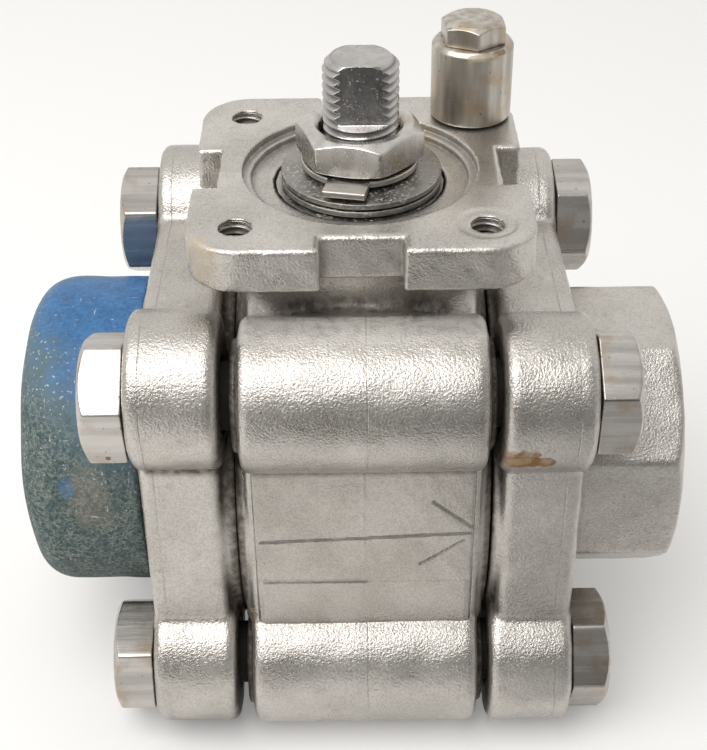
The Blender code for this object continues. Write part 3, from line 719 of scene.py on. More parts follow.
@dataclass(frozen=True)
class Finish:
    """Look of a piece, by the name of its material."""

    name: str

    def material(self, centre: Array) -> Material:
        """Make the material about the ball's centre."""
        return self.apply(Graph(self.name, centre))

    def apply(self, g: Graph) -> Material:
        """Finish the started material, each look in its own way."""
        raise NotImplementedError


@dataclass(frozen=True)
class CastFinish(Finish):
    """Blasted cast stainless steel: orange-peel skin, dirt and painted shade in its corners, stains and
    mould lines.
    """

    dark: Colour = (0.50, 0.475, 0.44)
    light: Colour = (0.60, 0.57, 0.535)
    # Colour of the dirt in pits and mould lines, and of the painted shade in corners, gaps and the
    # peel's valleys.
    dirt_and_shade: Colour = (0.085, 0.068, 0.052)
    roughness: float = 0.28
    peel: float = 0.15
    peel_size: float = 0.37
    calm_above: float = 1000.0
    calm: float = 0.32
    metal: float = 0.92
    speckle: float = 0.2
    dull: Colour = (0.33, 0.285, 0.235)
    stains: tuple[Stain, ...] = ()
    mould_lines: tuple[float, ...] = ()

    def apply(self, g: Graph) -> Material:
        """Mix two tones, then lay pits, dull patches, painted shade with grime, stains and mould lines
        over them.

        Args:
            g: Nodes of the started material.

        Returns:
            The material.
        """
        clouds = g.noise(10.0, 4.0)
        peel = g.noise(self.peel_size, 2.0)
        grain = g.noise(0.4 * self.peel_size, 1.0)
        colour = g.mix(g.ramp(clouds, 0.34, 0.66), self.dark, self.light)
        pits = g.math("MULTIPLY", g.ramp(g.noise(0.62, 1.0), 0.68, 0.80), 0.45)
        # Painted shade: the peel's valleys are darkened.
        valleys = g.math("MULTIPLY", g.ramp(peel, 0.50, 0.30), 0.18)
        grains = g.math("MULTIPLY", g.ramp(g.noise(0.27, 1.0), 0.54, 0.36), self.speckle)
        worst = g.math("MAXIMUM", g.math("MAXIMUM", pits, valleys), grains)
        colour = g.mix(worst, colour, self.dirt_and_shade)
        dulled = g.math("MULTIPLY", g.ramp(g.noise(2.4, 4.0), 0.54, 0.74), 0.3)
        colour = g.mix(dulled, colour, self.dull)
        # Painted shade with grime where other metal hides the surface, which is also less metallic and
        # rougher there.
        grime_and_shade_share = g.math("MULTIPLY", g.held("grime"), g.span(g.noise(1.3, 3.0), 0.2, 1.9))
        grime_and_shade_share = g.math("MULTIPLY", grime_and_shade_share, 0.95, clamp=True)
        colour = g.mix(grime_and_shade_share, colour, self.dirt_and_shade)
        cover = g.math("MULTIPLY", grime_and_shade_share, 0.75)
        colour, cover = stained(g, self.stains, colour, cover)
        height = g.math("MULTIPLY_ADD", peel, 0.72, g.math("MULTIPLY", grain, 0.28))
        for place in self.mould_lines:
            wander = g.sway(g.noise(5.0, 2.0), 0.5, -place)
            off = g.math("ABSOLUTE", g.math("ADD", g.axis("X"), wander))
            strength = g.span(g.ramp(clouds, 0.4, 0.6), 0.05, 0.3)
            line = g.math("MULTIPLY", g.ramp(off, 0.18, 0.03), strength)
            colour = g.mix(line, colour, self.dirt_and_shade)
            height = g.math("SUBTRACT", height, line)
        calm = g.span(g.ramp(g.axis("Z"), self.calm_above - 0.3, self.calm_above), 1.0, self.calm)
        g.bump(g.math("MULTIPLY", height, calm), self.peel)
        rough = g.math("MULTIPLY_ADD", clouds, 0.16, self.roughness - 0.08)
        rough = g.math("MULTIPLY_ADD", cover, 0.3, rough)
        bare = g.math("MULTIPLY_ADD", cover, -self.metal, self.metal, clamp=True)
        return g.shade(Base_Color=colour, Roughness=rough, Metallic=bare)


@dataclass(frozen=True)
class DrawnFinish(Finish):
    """Machined stainless steel with fine lines along or round its axis, specks and brown film."""

    colour: Colour
    film: Colour
    roughness: float
    stretch: Point
    line_depth: float = 0.012
    streak: float = 0.84
    film_low: float = 0.52
    film_high: float = 0.78
    dust: float = 0.0
    # Colour of the painted shade and grime that the mesh holds.
    grime: Colour = (0.022, 0.018, 0.015)
    stains: tuple[Stain, ...] = ()

    def apply(self, g: Graph) -> Material:
        """Mix streaks, then lay film, specks, grit, stains, and painted shade with grime, over them.

        Args:
            g: Nodes of the started material.

        Returns:
            The material.
        """
        lines = g.noise(0.35, 3.0, self.stretch)
        wide = g.noise(1.6, 3.0, self.stretch)
        clouds = g.noise(4.5, 4.0)
        darker = tuple(self.streak * part for part in self.colour)
        colour = g.mix(g.ramp(wide, 0.3, 0.7), darker, self.colour)
        colour = g.mix(g.ramp(clouds, self.film_low, self.film_high), colour, self.film)
        specks = g.math("MULTIPLY", g.ramp(g.noise(0.8, 1.0), 0.70, 0.78), 0.7)
        colour = g.mix(specks, colour, tuple(0.3 * part for part in self.film))
        cover = g.math("MULTIPLY", specks, 0.5)
        if self.dust:
            grains = g.ramp(g.noise(0.42, 2.0), 0.62 - 0.2 * self.dust, 0.80 - 0.1 * self.dust)
            grains = g.math("MULTIPLY", grains, g.span(g.ramp(clouds, 0.35, 0.6), 0.35, 1.0))
            colour = g.mix(grains, colour, GRIT)
            cover = g.math("MAXIMUM", cover, grains)
        colour, cover = stained(g, self.stains, colour, cover)
        # Painted shade with grime, held by the mesh in thread roots and under bolt heads.
        grime_and_shade_share = g.held("grime")
        colour = g.mix(grime_and_shade_share, colour, self.grime)
        cover = g.math("MAXIMUM", cover, grime_and_shade_share)
        g.bump(lines, self.line_depth)
        rough = g.math("MULTIPLY_ADD", wide, 0.12, self.roughness - 0.06)
        rough = g.math("MULTIPLY_ADD", cover, 0.35, rough)
        bare = g.math("SUBTRACT", 1.0, cover, clamp=True)
        # Less specular where the painted shade lies, so that it stays dark.
        gloss = g.math("MULTIPLY_ADD", grime_and_shade_share, -0.45, 0.5)
        return g.shade(Base_Color=colour, Roughness=rough, Metallic=bare, Specular_IOR_Level=gloss)


@dataclass(frozen=True)
class PolymerFinish(Finish):
    """Turned polymer or rubber with tool marks round its axis and slight marbling."""

    colour: Colour
    shadow: Colour
    roughness: float
    stretch: Point

    def apply(self, g: Graph) -> Material:
        """Marble two tones and mark them by the tool.

        Args:
            g: Nodes of the started material.

        Returns:
            The material.
        """
        colour = g.mix(g.ramp(g.noise(3.0, 4.0), 0.3, 0.75), self.colour, self.shadow)
        g.bump(g.noise(0.3, 2.0, self.stretch), 0.01)
        rough = g.math("MULTIPLY_ADD", g.noise(1.5, 3.0), 0.15, self.roughness - 0.07)
        return g.shade(Base_Color=colour, Roughness=rough)


@dataclass(frozen=True)
class CapFinish(Finish):
    """Blue moulded plastic, flecked, and caked with greenish dirt below a slanting line."""

    name: str = "cap_plastic"
    blue: Colour = (0.036, 0.155, 0.34)
    deep: Colour = (0.018, 0.090, 0.235)
    slate: Colour = (0.080, 0.135, 0.165)
    dirt_dark: Colour = (0.030, 0.062, 0.066)
    dirt_light: Colour = (0.118, 0.148, 0.135)
    crust: Colour = (0.300, 0.310, 0.265)
    fleck: Colour = (0.50, 0.54, 0.56)
    dirt_top: float = 17.0
    dirt_fade: float = 22.0
    dirt_slope: float = 0.6
    dirt_from: float = 44.0
    dirt_sway: Pair = (14.0, 9.0)
    stains: tuple[Stain, ...] = (
        Stain((-42.4, -24.2, 8.0), 5.5, (0.22, 0.19, 0.145), 0.4, (-41.6, -24.2, 3.4), 2.6),
        Stain((-45.4, -24.2, 8.6), 2.0, (0.045, 0.150, 0.29), 0.55, (-45.2, -24.2, 7.0), 1.9),
    )

    def apply(self, g: Graph) -> Material:
        """Fleck the blue, then cake it with dirt up to the slanting line.

        Args:
            g: Nodes of the started material.

        Returns:
            The material.
        """
        clouds = g.noise(9.0, 5.0)
        blotch = g.noise(2.4, 4.0)
        grain = g.noise(0.62, 4.0)
        along = g.math("ADD", g.axis("X"), self.dirt_from)
        level = g.math("MULTIPLY_ADD", along, self.dirt_slope, g.axis("Z"))
        for cloud, width in zip((clouds, blotch), self.dirt_sway):
            level = g.sway(cloud, width, level)
        dirty = g.ramp(level, self.dirt_top + self.dirt_fade / 2, self.dirt_top - self.dirt_fade / 2)
        tone = g.math("MULTIPLY_ADD", grain, 0.8, g.math("MULTIPLY", blotch, 0.5))
        colour = g.mix(g.ramp(tone, 0.45, 0.85), self.deep, self.blue)
        colour = g.mix(g.ramp(dirty, 0.0, 0.55), colour, self.slate)
        dirt_and_shade = g.mix(g.ramp(grain, 0.36, 0.70), self.dirt_dark, self.dirt_light)
        from_vein = g.math("ABSOLUTE", g.math("SUBTRACT", g.noise(0.9, 3.0), 0.5))
        dirt_and_shade = g.mix(g.math("MULTIPLY", g.ramp(from_vein, 0.05, 0.01), 0.58), dirt_and_shade, self.crust)
        dirt_and_shade = g.mix(g.math("MULTIPLY", g.ramp(blotch, 0.55, 0.35), 0.5), dirt_and_shade, self.dirt_dark)
        colour = g.mix(g.ramp(dirty, 0.35, 1.0), colour, dirt_and_shade)
        for stain in self.stains:
            colour = g.mix(stain.amount(g), colour, stain.colour)
        rim = g.math("MULTIPLY", dirty, g.math("SUBTRACT", 1.0, dirty))
        crowd = g.math("MULTIPLY_ADD", rim, -0.34, 0.74)
        flecks = g.ramp(g.math("SUBTRACT", g.noise(0.5, 1.0), crowd), 0.0, 0.06)
        fibres = g.ramp(g.noise(0.5, 2.0, (0.16, 1.0, 1.0)), 0.71, 0.77)
        hairs = g.ramp(g.noise(0.5, 2.0, (1.0, 0.2, 0.2)), 0.73, 0.79)
        marks = g.math("MAXIMUM", g.math("MAXIMUM", fibres, hairs), flecks)
        colour = g.mix(g.math("MULTIPLY", marks, 0.7), colour, self.fleck)
        g.bump(g.math("MULTIPLY_ADD", blotch, 0.6, g.math("MULTIPLY", grain, 0.4)), 0.2)
        rough = g.math("MULTIPLY_ADD", dirty, 0.28, 0.42)
        rough = g.math("MULTIPLY_ADD", clouds, 0.12, rough)
        return g.shade(Base_Color=colour, Roughness=rough)


class Workshop:
    """Puts finished surfaces into the frame, on the bodies that carry them."""

    def __init__(self, frame: dict) -> None:
        """Take the ball's centre from the joint that turns it.
        """
        joint = next(j for j in frame["joints"] if j["name"] == "ball_turn")
        self.nodes: dict[str, bpy.types.Object] = frame["nodes"]
        self.centre = np.array(joint["pos_m"], float)
        self.made: dict[Finish, Material] = {}

    def coat(self, finish: Finish) -> Material:
        """Material of a finish, made once for all the pieces that have it.

        Args:
            finish: Finish.

        Returns:
            Its material.
        """
        if finish not in self.made:
            self.made[finish] = finish.material(self.centre)
        return self.made[finish]

    def middle(self, node: str) -> Array:
        """Middle of a node's box, in millimetres about the ball's centre."""
        low, high = (np.array(corner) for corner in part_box(node))
        return ((low + high) / 2 - self.centre) / MM

    def corner_angle(self, node: str) -> float:
        """Find how a hexagon head is turned.

        Args:
            node: Node of the frame.

        Returns:
            Angle about X, from +Y to +Z, of its point that lies furthest from its own axis.
        """
        mesh = self.nodes[node].data
        points = np.empty(len(mesh.vertices) * 3)
        mesh.vertices.foreach_get("co", points)
        y, z = ((points.reshape(-1, 3) - self.centre) / MM - self.middle(node))[:, 1:].T
        far = np.argmax(np.hypot(y, z))
        return math.atan2(z[far], y[far])

    def put(
        self,
        name: str,
        skin: Skin,
        body: Body,
        finish: Finish,
        stands_for: Sequence[str] = (),
        weld: bool = True,
    ) -> bpy.types.Object:
        """Make a piece of the valve from a surface.

        Args:
            name: Name of the piece.
            skin: Its surface.
            body: Body that it rides on.
            finish: Its finish.
            stands_for: Nodes that it replaces.
            weld: Whether points that meet are merged and faces turned outwards.

        Returns:
            The piece.
        """
        mesh = bpy.data.meshes.new(name)
        mesh.vertices.add(len(skin.points))
        mesh.vertices.foreach_set("co", (skin.points * MM + self.centre).astype(np.float32).ravel())
        mesh.loops.add(skin.faces.size)
        mesh.loops.foreach_set("vertex_index", skin.faces.astype(np.int32).ravel())
        mesh.polygons.add(len(skin.faces))
        mesh.polygons.foreach_set("loop_start", np.arange(0, skin.faces.size, 4, dtype=np.int32))
        mesh.update(calc_edges=True)
        # Mask of painted shade and grime, by which the finishes darken the colour.
        if skin.grime is not None:
            held = mesh.attributes.new("grime", "FLOAT", "POINT")
            held.data.foreach_set("value", skin.grime.astype(np.float32))
        if weld:
            self.weld(mesh)
        self.level_normals(mesh)
        mesh.materials.append(self.coat(finish))
        piece = bpy.data.objects.new(name, mesh)
        bpy.context.scene.collection.objects.link(piece)
        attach(piece, body.value)
        if stands_for:
            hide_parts(*stands_for)
        LOG.info("%s: %d faces on %s", name, len(mesh.polygons), body.value)
        return piece

    @staticmethod
    def weld(mesh: bpy.types.Mesh) -> None:
        """Merge points that meet, and turn the faces outwards.

        Args:
            mesh: Mesh to change.
        """
        shape = bmesh.new()
        shape.from_mesh(mesh)
        bmesh.ops.remove_doubles(shape, verts=shape.verts, dist=WELD)
        bmesh.ops.recalc_face_normals(shape, faces=shape.faces)
        shape.to_mesh(mesh)
        shape.free()

    @staticmethod
    def level_normals(mesh: bpy.types.Mesh) -> None:
        """Shade smoothly, each point's normal the sum of its triangles' normals by their area.

        Args:
            mesh: Mesh to change.
        """
        mesh.calc_loop_triangles()
        corners = np.empty(len(mesh.loop_triangles) * 3, np.int32)
        mesh.loop_triangles.foreach_get("vertices", corners)
        points = np.empty(len(mesh.vertices) * 3, np.float32)
        mesh.vertices.foreach_get("co", points)
        a, b, c = points.reshape(-1, 3)[corners.reshape(-1, 3)].astype(float).transpose(1, 0, 2)
        across = np.repeat(np.cross(b - a, c - a), 3, axis=0)
        count = len(mesh.vertices)
        normals = np.stack([np.bincount(corners, across[:, i], count) for i in range(3)], axis=1)
        normals /= np.maximum(np.linalg.norm(normals, axis=1, keepdims=True), NO_AREA)
        mesh.shade_smooth()
        mesh.normals_split_custom_set_from_vertices(normals.tolist())

    def dress(self, node: str, finish: Finish) -> None:
        """Give a node that stays its finish.

        Args:
            node: Node of the frame.
            finish: Its finish.
        """
        piece = self.nodes[node]
        piece.data.materials.clear()
        piece.data.materials.append(self.coat(finish))
        LOG.info("%s: kept and dressed", node)


@dataclass(frozen=True)
class Thread:
    """Tapped thread in a sleeve.

    Attributes:
        crest: Radius of its crest.
        root: Radius of its root.
        outer: Radius of the sleeve's outer side.
        pitch: Pitch.
        sides: Steps round.
        steps: Steps along each pitch.
        flare: How far its mouth widens.
        grime: Painted shade deep in it, with its grime.
        shade_fade: Depths at which the painted shade begins and is full.
    """

    crest: float
    root: float
    outer: float
    pitch: float
    sides: int
    steps: int = 12
    flare: float = 0.2
    grime: float = 0.9
    shade_fade: Pair = (0.2, 2.4)

    def lining(self, low: float, high: float, closed: bool = False) -> Skin:
        """Tapped sleeve about Z.

        Its inner side is a helicoid: the radius at turn fraction a and height h is root - depth *
        thread_wave(h/pitch - a). Its outer side lies inside the casting.

        Args:
            low: Lower end.
            high: Upper end.
            closed: Whether the thread ends at its crest at the top, and not at its root.

        Returns:
            The closed sleeve, with painted shade that grows deeper down.
        """
        angles = round_angles(self.sides)
        height = np.linspace(low, high, int((high - low) / self.pitch * self.steps))
        wave = thread_wave(height[None, :] / self.pitch - angles[:, None] / TURN)
        mouth = np.clip((high - height) / self.pitch * 2, 0, 1)
        wave = wave * np.clip((height - low) / self.pitch * 2, 0, 1)
        wave = np.maximum(wave, 1 - mouth) if closed else wave * mouth
        radius = self.root - (self.root - self.crest) * wave
        inner = np.stack([radius, np.broadcast_to(height, wave.shape)], axis=-1)
        inner[:, -1, 0] += self.flare
        back = np.broadcast_to([(self.outer, high), (self.outer, low)], (self.sides, 2, 2))
        skin = spin(np.concatenate([inner, back], axis=1), angles, True)
        # Painted shade that grows with depth in the hole.
        skin.grime = self.grime * smooth_step(high - skin.points[:, 2], *self.shade_fade)
        return skin


@dataclass
class Castings:
    """Body with its pad, and the two end caps: blocks and drums run together with fillets."""

    lug_offset: float = 26.0
    lug_upper: Pair = (26.1, 11.4)
    lug_lower: Pair = (-25.5, 11.75)
    lug_face: float = 17.7
    lug_edge: float = 1.6
    lug_fillet: float = 1.0
    boss_radius: float = 8.25
    boss_face: float = 18.7
    boss_edge: float = 0.3
    web: float = 30.9
    web_edge: float = 1.0
    web_face: float = 17.4
    front_rebate: float = 0.4
    bevel_block: float = 18.6
    bevel_height: float = 15.4
    bevel_level: float = 33.92
    bevel_slope: Pair = (0.671, 0.7415)
    bevel_edge: float = 0.6
    bevel_blend: float = 0.5
    ring_radius: float = 30.0
    ring_face: float = 19.1
    ring_edge: float = 0.3
    ring_fillet: float = 1.2
    bore: float = 18.6
    bolt_bore: float = 5.3
    neck_radius: float = 18.5
    neck_fillet: float = 3.5
    neck_middle: float = 32.0
    neck_half: float = 14.0
    cast_ripple: Pair = (0.05, 7.0)
    pad_low: float = 42.5
    pad_high: float = 49.27
    pad_half: float = 24.75
    pad_corner: float = 7.6
    pad_edges: Pair = (0.85, 0.5)
    pad_fillet: float = 1.6
    pad_ripple: Pair = (0.06, 4.2)
    pad_calm: float = 0.05
    notch_half: float = 5.85
    notch_floor: float = 21.1
    notch_edge: float = 0.5
    hole_offset: float = 17.68
    hole_radius: float = 2.9
    hole_mouth: float = 2.4
    hole_lip: float = 0.5
    hole_floor: float = 0.3
    spot_face: float = 4.1
    spot_depth: float = 0.14
    spot_fade: Pair = (0.5, 0.4)
    spigot: Pair = (17.6, 48.07)
    step: Pair = (16.3, 47.07)
    well: Pair = (12.9, 43.77)
    chamber: Pair = (10.0, 30.2)
    stem_bore: float = 6.4
    seam: float = 39.5
    seam_lap: float = 0.5
    seam_inset: float = 0.03
    seam_fade: Pair = (1.0, 0.4)
    # Share of the painted shade and grime kept on the pad, and the painted shade in the lug gaps.
    pad_grime_and_shade: float = 0.5
    gap_shade: float = 0.85
    body_gap: Pair = (0.1, 0.6)
    cap_gap: Pair = (0.4, -0.1)
    # Reaches and weights by which nearby metal paints shade on a point, and the hidden share over which
    # that painted shade rises.
    hiding: tuple[Pair, ...] = ((0.7, 0.35), (1.6, 0.35), (3.2, 0.3))
    hidden_range: Pair = (0.10, 0.72)
    cap_plate: Pair = (20.6, 32.5)
    cap_edge: float = 1.5
    cap_lug: Pair = (19.6, 32.65)
    cap_ring: float = 19.4
    cap_ring_middle: float = 23.0
    joint_edge: float = 0.2
    cap_line: float = 29.9
    cap_spigot: Pair = (17.5, 18.3)
    cap_spigot_middle: float = 22.0
    cap_bolt_play: float = 0.2
    cap_lift: float = 0.0
    hub_half: float = 22.0
    hub_middle: float = 37.0
    hub_corner: float = 0.6
    hub_edge: float = 0.4
    hub_fillet: float = 1.8
    hub_face: float = 49.9
    hub_chamfer: float = 21.5
    socket_floor: float = 30.9
    socket_radius: float = 16.9
    socket_chamfer: float = 0.9
    port: float = 12.0
    body_cell: float = 0.62
    pad_cell: float = 0.34
    cap_cell: float = 0.5
    net_room: float = 0.4
    plate_half: Pair = (16.75, 16.1)
    plate_pitch: float = 0.2
    plate_depth: float = 0.7
    plate_bevel: Pair = (16.3, 0.9)
    plate_ripple: Pair = (0.04, 5.5)
    arrow: tuple[tuple[Pair, Pair], ...] = (
        ((-15.72, 1.98), (16.2, 3.45)),
        ((10.38, 9.64), (16.3, 4.65)),
        ((8.53, -2.7), (15.24, 2.07)),
    )
    arrow_side: Pair = (-0.22, -0.03)
    arrow_ripple: Pair = (0.05, 1.7)
    arrow_depth: float = 0.26
    # Painted shade in the sunk arrow.
    arrow_shade: float = 0.42
    panel_rise: Pair = (0.08, 0.12)
    panel_top: Pair = (-5.9, -6.4)
    panel_fade: Pair = (2.0, -0.5)
    panel_side: Pair = (16.2, 15.4)
    panel_line: float = -5.75
    panel_edge: Pair = (-0.25, -0.05)
    # Painted shade along the panel's step.
    panel_edge_shade: float = 0.2
    mould_line: float = -0.1
    mould_rise: float = 0.07
    mould_edge: Pair = (-0.4, -0.1)
    mould_foot: Pair = (-6.0, -5.0)
    lug_shade: Pair = (14.2, 15.9)
    # Painted shade under the lugs.
    under_lug_shade: float = 0.75
    hole_thread: Thread = Thread(2.3, 2.85, 3.2, 1.0, 40)
    hole_foot: float = 0.2
    socket_thread: Thread = Thread(15.5, 16.75, 17.2, 2.31, 120)
    socket_ends: Pair = (0.1, 0.7)

    def lug_distance(self, y: Array, z: Array) -> Array:
        """Distance in the plane across the pipe to the axis of the nearest bolt."""
        return np.hypot(np.abs(y) - self.lug_offset, np.abs(z) - self.lug_offset)

    def lugs(self, y: Array, z: Array) -> Array:
        """Distance in the plane across the pipe to the outline of the nearest lug.

        Args:
            y: Place to the back.
            z: Place up the stem.

        Returns:
            Distance, negative inside the lug.
        """
        depth = np.abs(y) - self.lug_offset
        (high, upper), (low, lower) = self.lug_upper, self.lug_lower
        return np.where(z > 0, np.hypot(depth, z - high) - upper, np.hypot(depth, z - low) - lower)

    def trunk(self, x: Array, y: Array, z: Array) -> Array:
        """Body without its pad: a block, four lugs with bosses, joint rings and a neck.

        Args:
            x: Place along the pipe.
            y: Place to the back.
            z: Place up the stem.

        Returns:
            Distance, rounded where the parts run together.
        """
        ax, ay, az = np.abs(x), np.abs(y), np.abs(z)
        shape = block(x, y, z, (self.web_face, self.web, self.web), self.web_edge)
        across, deep = self.bevel_slope
        for depth, rise in ((ay, az), (az, ay)):
            half = (self.bevel_block, self.web, self.bevel_height)
            bevel = across * ax + deep * depth - self.bevel_level
            proud = blend_max(block(x, depth, rise, half, self.bevel_edge), bevel, self.bevel_blend)
            shape = np.minimum(shape, proud)
        shape = np.maximum(shape, -y - self.web + self.front_rebate)
        lugs = drum(self.lugs(y, z), x, 0.0, self.lug_face, self.lug_edge)
        shape = blend_min(shape, lugs, self.lug_fillet)
        radius = np.hypot(y, z)
        ring = drum(radius, x, self.ring_radius, self.ring_face, self.ring_edge)
        shape = blend_min(shape, ring, self.ring_fillet)
        height = np.abs(z - self.neck_middle) - self.neck_half
        neck = np.maximum(np.hypot(x, y) - self.neck_radius, height)
        shape = blend_min(shape, neck, self.neck_fillet)
        shape = np.maximum(self.uneven(shape, x, y, z), ax - self.ring_face)
        boss = drum(self.lug_distance(y, z), x, self.boss_radius, self.boss_face, self.boss_edge)
        return np.minimum(shape, boss)

    def uneven(self, shape: Array, x: Array, y: Array, z: Array) -> Array:
        """Distance with the slow ripple of a cast surface added."""
        depth, size = self.cast_ripple
        return shape + depth * ripple(x, y, z, size)

    def pad(self, x: Array, y: Array, z: Array) -> Array:
        """Direct-mount pad: a rounded square with a notch in each side, its top edge worn round.

        Args:
            x: Place along the pipe.
            y: Place to the back.
            z: Place up the stem.

        Returns:
            Distance, negative inside.
        """
        ax, ay = np.abs(x), np.abs(y)
        inner = self.pad_half - self.pad_corner
        px, py = ax - inner, ay - inner
        square = np.minimum(np.maximum(px, py), 0) + np.hypot(np.maximum(px, 0), np.maximum(py, 0))
        square = square - self.pad_corner
        for side, reach in ((ax, ay), (ay, ax)):
            notch = np.maximum(side - self.notch_half, self.notch_floor - reach)
            square = blend_max(square, -notch, self.notch_edge)
        depth, size = self.pad_ripple
        square = square + depth * ripple(x, y, z, size)
        middle, half = (self.pad_low + self.pad_high) / 2, (self.pad_high - self.pad_low) / 2
        edge = np.where(z > middle, *self.pad_edges)
        return rounded_pair(square, np.abs(z - middle) - half, edge)

    def bored(self, shape: Array, x: Array, y: Array, z: Array) -> Array:
        """Cut the flow way, the stem's stepped way, the bolt holes and the pad's holes.

        Args:
            shape: Distance to the uncut casting.
            x: Place along the pipe.
            y: Place to the back.
            z: Place up the stem.

        Returns:
            Distance to the cut casting.
        """
        radius, about = np.hypot(y, z), np.hypot(x, y)
        shape = np.maximum(shape, self.bore - radius)
        shape = np.maximum(shape, self.bolt_bore - self.lug_distance(y, z))
        shape = np.maximum(shape, np.minimum(self.stem_bore - about, z))
        for reach, floor in (self.chamber, self.well, self.step, self.spigot):
            shape = np.maximum(shape, -np.maximum(about - reach, floor - z))
        hole = np.hypot(np.abs(x) - self.hole_offset, np.abs(y) - self.hole_offset)
        sink = hole - np.where(z > self.pad_high - self.hole_lip, self.hole_mouth, self.hole_radius)
        shape = np.maximum(shape, -np.maximum(sink, self.pad_low - self.hole_floor - z))
        outside, inside = self.spot_fade
        dish = self.spot_depth * smooth_step(hole, self.spot_face + outside, self.spot_face - inside)
        return np.maximum(shape, z - self.pad_high + dish)

    def body(self, x: Array, y: Array, z: Array) -> Array:
        """Whole body casting."""
        whole = blend_min(self.trunk(x, y, z), self.pad(x, y, z), self.pad_fillet)
        return self.bored(whole, x, y, z)

    def lower_body(self, x: Array, y: Array, z: Array) -> Array:
        """Body up to just above its seam with the pad."""
        return np.maximum(self.body(x, y, z), z - self.seam - self.seam_lap)

    def upper_body(self, x: Array, y: Array, z: Array) -> Array:
        """Pad down to just below its seam with the body, a hair inside it where they overlap.

        Args:
            x: Place along the pipe.
            y: Place to the back.
            z: Place up the stem.

        Returns:
            Distance, negative inside.
        """
        high, low = self.seam_fade
        overlap = self.seam_inset * smooth_step(z, self.seam + high, self.seam + low)
        return np.maximum(self.body(x, y, z) + overlap, self.seam - self.seam_lap - z)

    def end_cap(self, x: Array, y: Array, z: Array) -> Array:
        """End cap at positive x: a plate with lugs, an octagon hub and a spigot, bored through.

        Args:
            x: Place along the pipe.
            y: Place to the back.
            z: Place up the stem.

        Returns:
            Distance, negative inside.
        """
        low, high = self.cap_plate
        cast_z = z - self.cap_lift
        half = ((high - low) / 2, self.web, self.web)
        shape = block(x - (low + high) / 2, y, cast_z, half, self.cap_edge)
        low, high = self.cap_lug
        lugs = drum(self.lugs(y, z), x - (low + high) / 2, 0.0, (high - low) / 2, self.lug_edge)
        shape = blend_min(shape, lugs, self.lug_fillet)
        radius = np.hypot(y, z)
        ay, az = np.abs(y), np.abs(cast_z)
        octagon = blend_max(np.maximum(ay, az), (ay + az) / math.sqrt(2), self.hub_corner)
        length = np.abs(x - self.hub_middle) - (self.hub_face - self.hub_middle)
        hub = rounded_pair(octagon - self.hub_half, length, self.hub_edge)
        chamfer = (np.hypot(y, cast_z) - self.hub_chamfer - (self.hub_face - x) * math.sqrt(3)) / 2
        hub = blend_max(hub, chamfer, self.hub_edge)
        shape = blend_min(shape, hub, self.hub_fillet)
        shape = self.uneven(shape, x, y, z)
        middle = self.cap_ring_middle
        ring = drum(radius, x - middle, self.ring_radius, middle - self.cap_ring, self.joint_edge)
        shape = blend_min(shape, ring, self.ring_fillet)
        face, spigot = self.cap_spigot
        middle = self.cap_spigot_middle
        shape = np.minimum(shape, drum(radius, x - middle, spigot, middle - face, self.joint_edge))
        mouth = self.socket_radius + np.maximum(x - self.hub_face + self.socket_chamfer, 0)
        shape = np.maximum(shape, -np.maximum(radius - mouth, self.socket_floor - x))
        shape = np.maximum(shape, self.port - radius)
        return np.maximum(shape, self.bolt_bore + self.cap_bolt_play - self.lug_distance(y, z))

    def everything(self, x: Array, y: Array, z: Array) -> Array:
        """Body and both end caps together."""
        return np.minimum(self.body(x, y, z), self.end_cap(np.abs(x), y, z))

    def with_grime_and_shade(self, skin: Skin, shape: Field) -> Skin:
        """Paint shade and grime where other metal hides much of the way out from each point.

        Along the normal, d millimetres out, metal that is nearer than d hides the share 1 - distance/d.

        Args:
            skin: Surface of a casting.
            shape: Its field.

        Returns:
            The surface with its painted shade and grime.
        """
        normal = gradient(shape, skin.points)
        normal /= np.maximum(np.linalg.norm(normal, axis=1, keepdims=True), TINY)
        hidden = np.zeros(len(skin.points))
        for reach, weight in self.hiding:
            away = self.everything(*(skin.points + normal * reach).T)
            hidden += weight * np.clip(1 - away / reach, 0, 1)
        return Skin(skin.points, skin.faces, smooth_step(hidden, *self.hidden_range))

    def build(self, shop: Workshop) -> None:
        """Make the body, the pad, the end caps and what is cut into them, and dress them.

        Args:
            shop: Workshop that places them.
        """
        rusty = (
            Stain((20.8, -36.7, 21.9), 3.6, RUST, 0.95, (22.8, -36.8, 22.1)),
            Stain((23.0, -36.7, 21.9), 2.3, RUST, 0.95, (25.6, -36.5, 21.4)),
            Stain((21.2, -36.8, 21.8), 1.5, TARNISH, 0.4, (22.6, -36.8, 21.8)),
        )
        worn = (
            Stain((-23.1, -22.0, 46.5), 6.0, TARNISH, 0.55),
            Stain((-21.3, -25.6, 49.3), 4.0, TARNISH, 0.4),
            Stain((-18.1, -31.0, -13.4), 2.4, RUST, 0.9),
            Stain((9.5, 11.5, 49.0), 5.0, TARNISH, 0.45),
            Stain((4.2, -35.8, 17.6), 1.5, SMUDGE, 0.5, (10.6, -36.9, 21.4)),
            Stain((-15.0, -26.0, 37.6), 6.5, DUST, 0.6, (15.0, -26.0, 37.6), 2.0),
        )
        right = replace(self, lug_upper=(26.0, 11.6))
        left = replace(
            self,
            lug_upper=(27.3, 11.6),
            lug_lower=(-24.75, 11.75),
            cap_plate=(21.2, 33.1),
            cap_lug=(20.2, 33.2),
            cap_ring=19.25,
            cap_line=-30.8,
            cap_lift=1.05,
        )
        body_finish = CastFinish("cast_body", stains=worn, mould_lines=(0.5,))
        pad_finish = CastFinish(
            "cast_pad",
            (0.53, 0.505, 0.47),
            (0.64, 0.61, 0.57),
            peel=0.12,
            calm_above=self.pad_high - self.pad_calm,
            stains=worn,
        )
        cap_lines = (left.cap_line, self.cap_line)
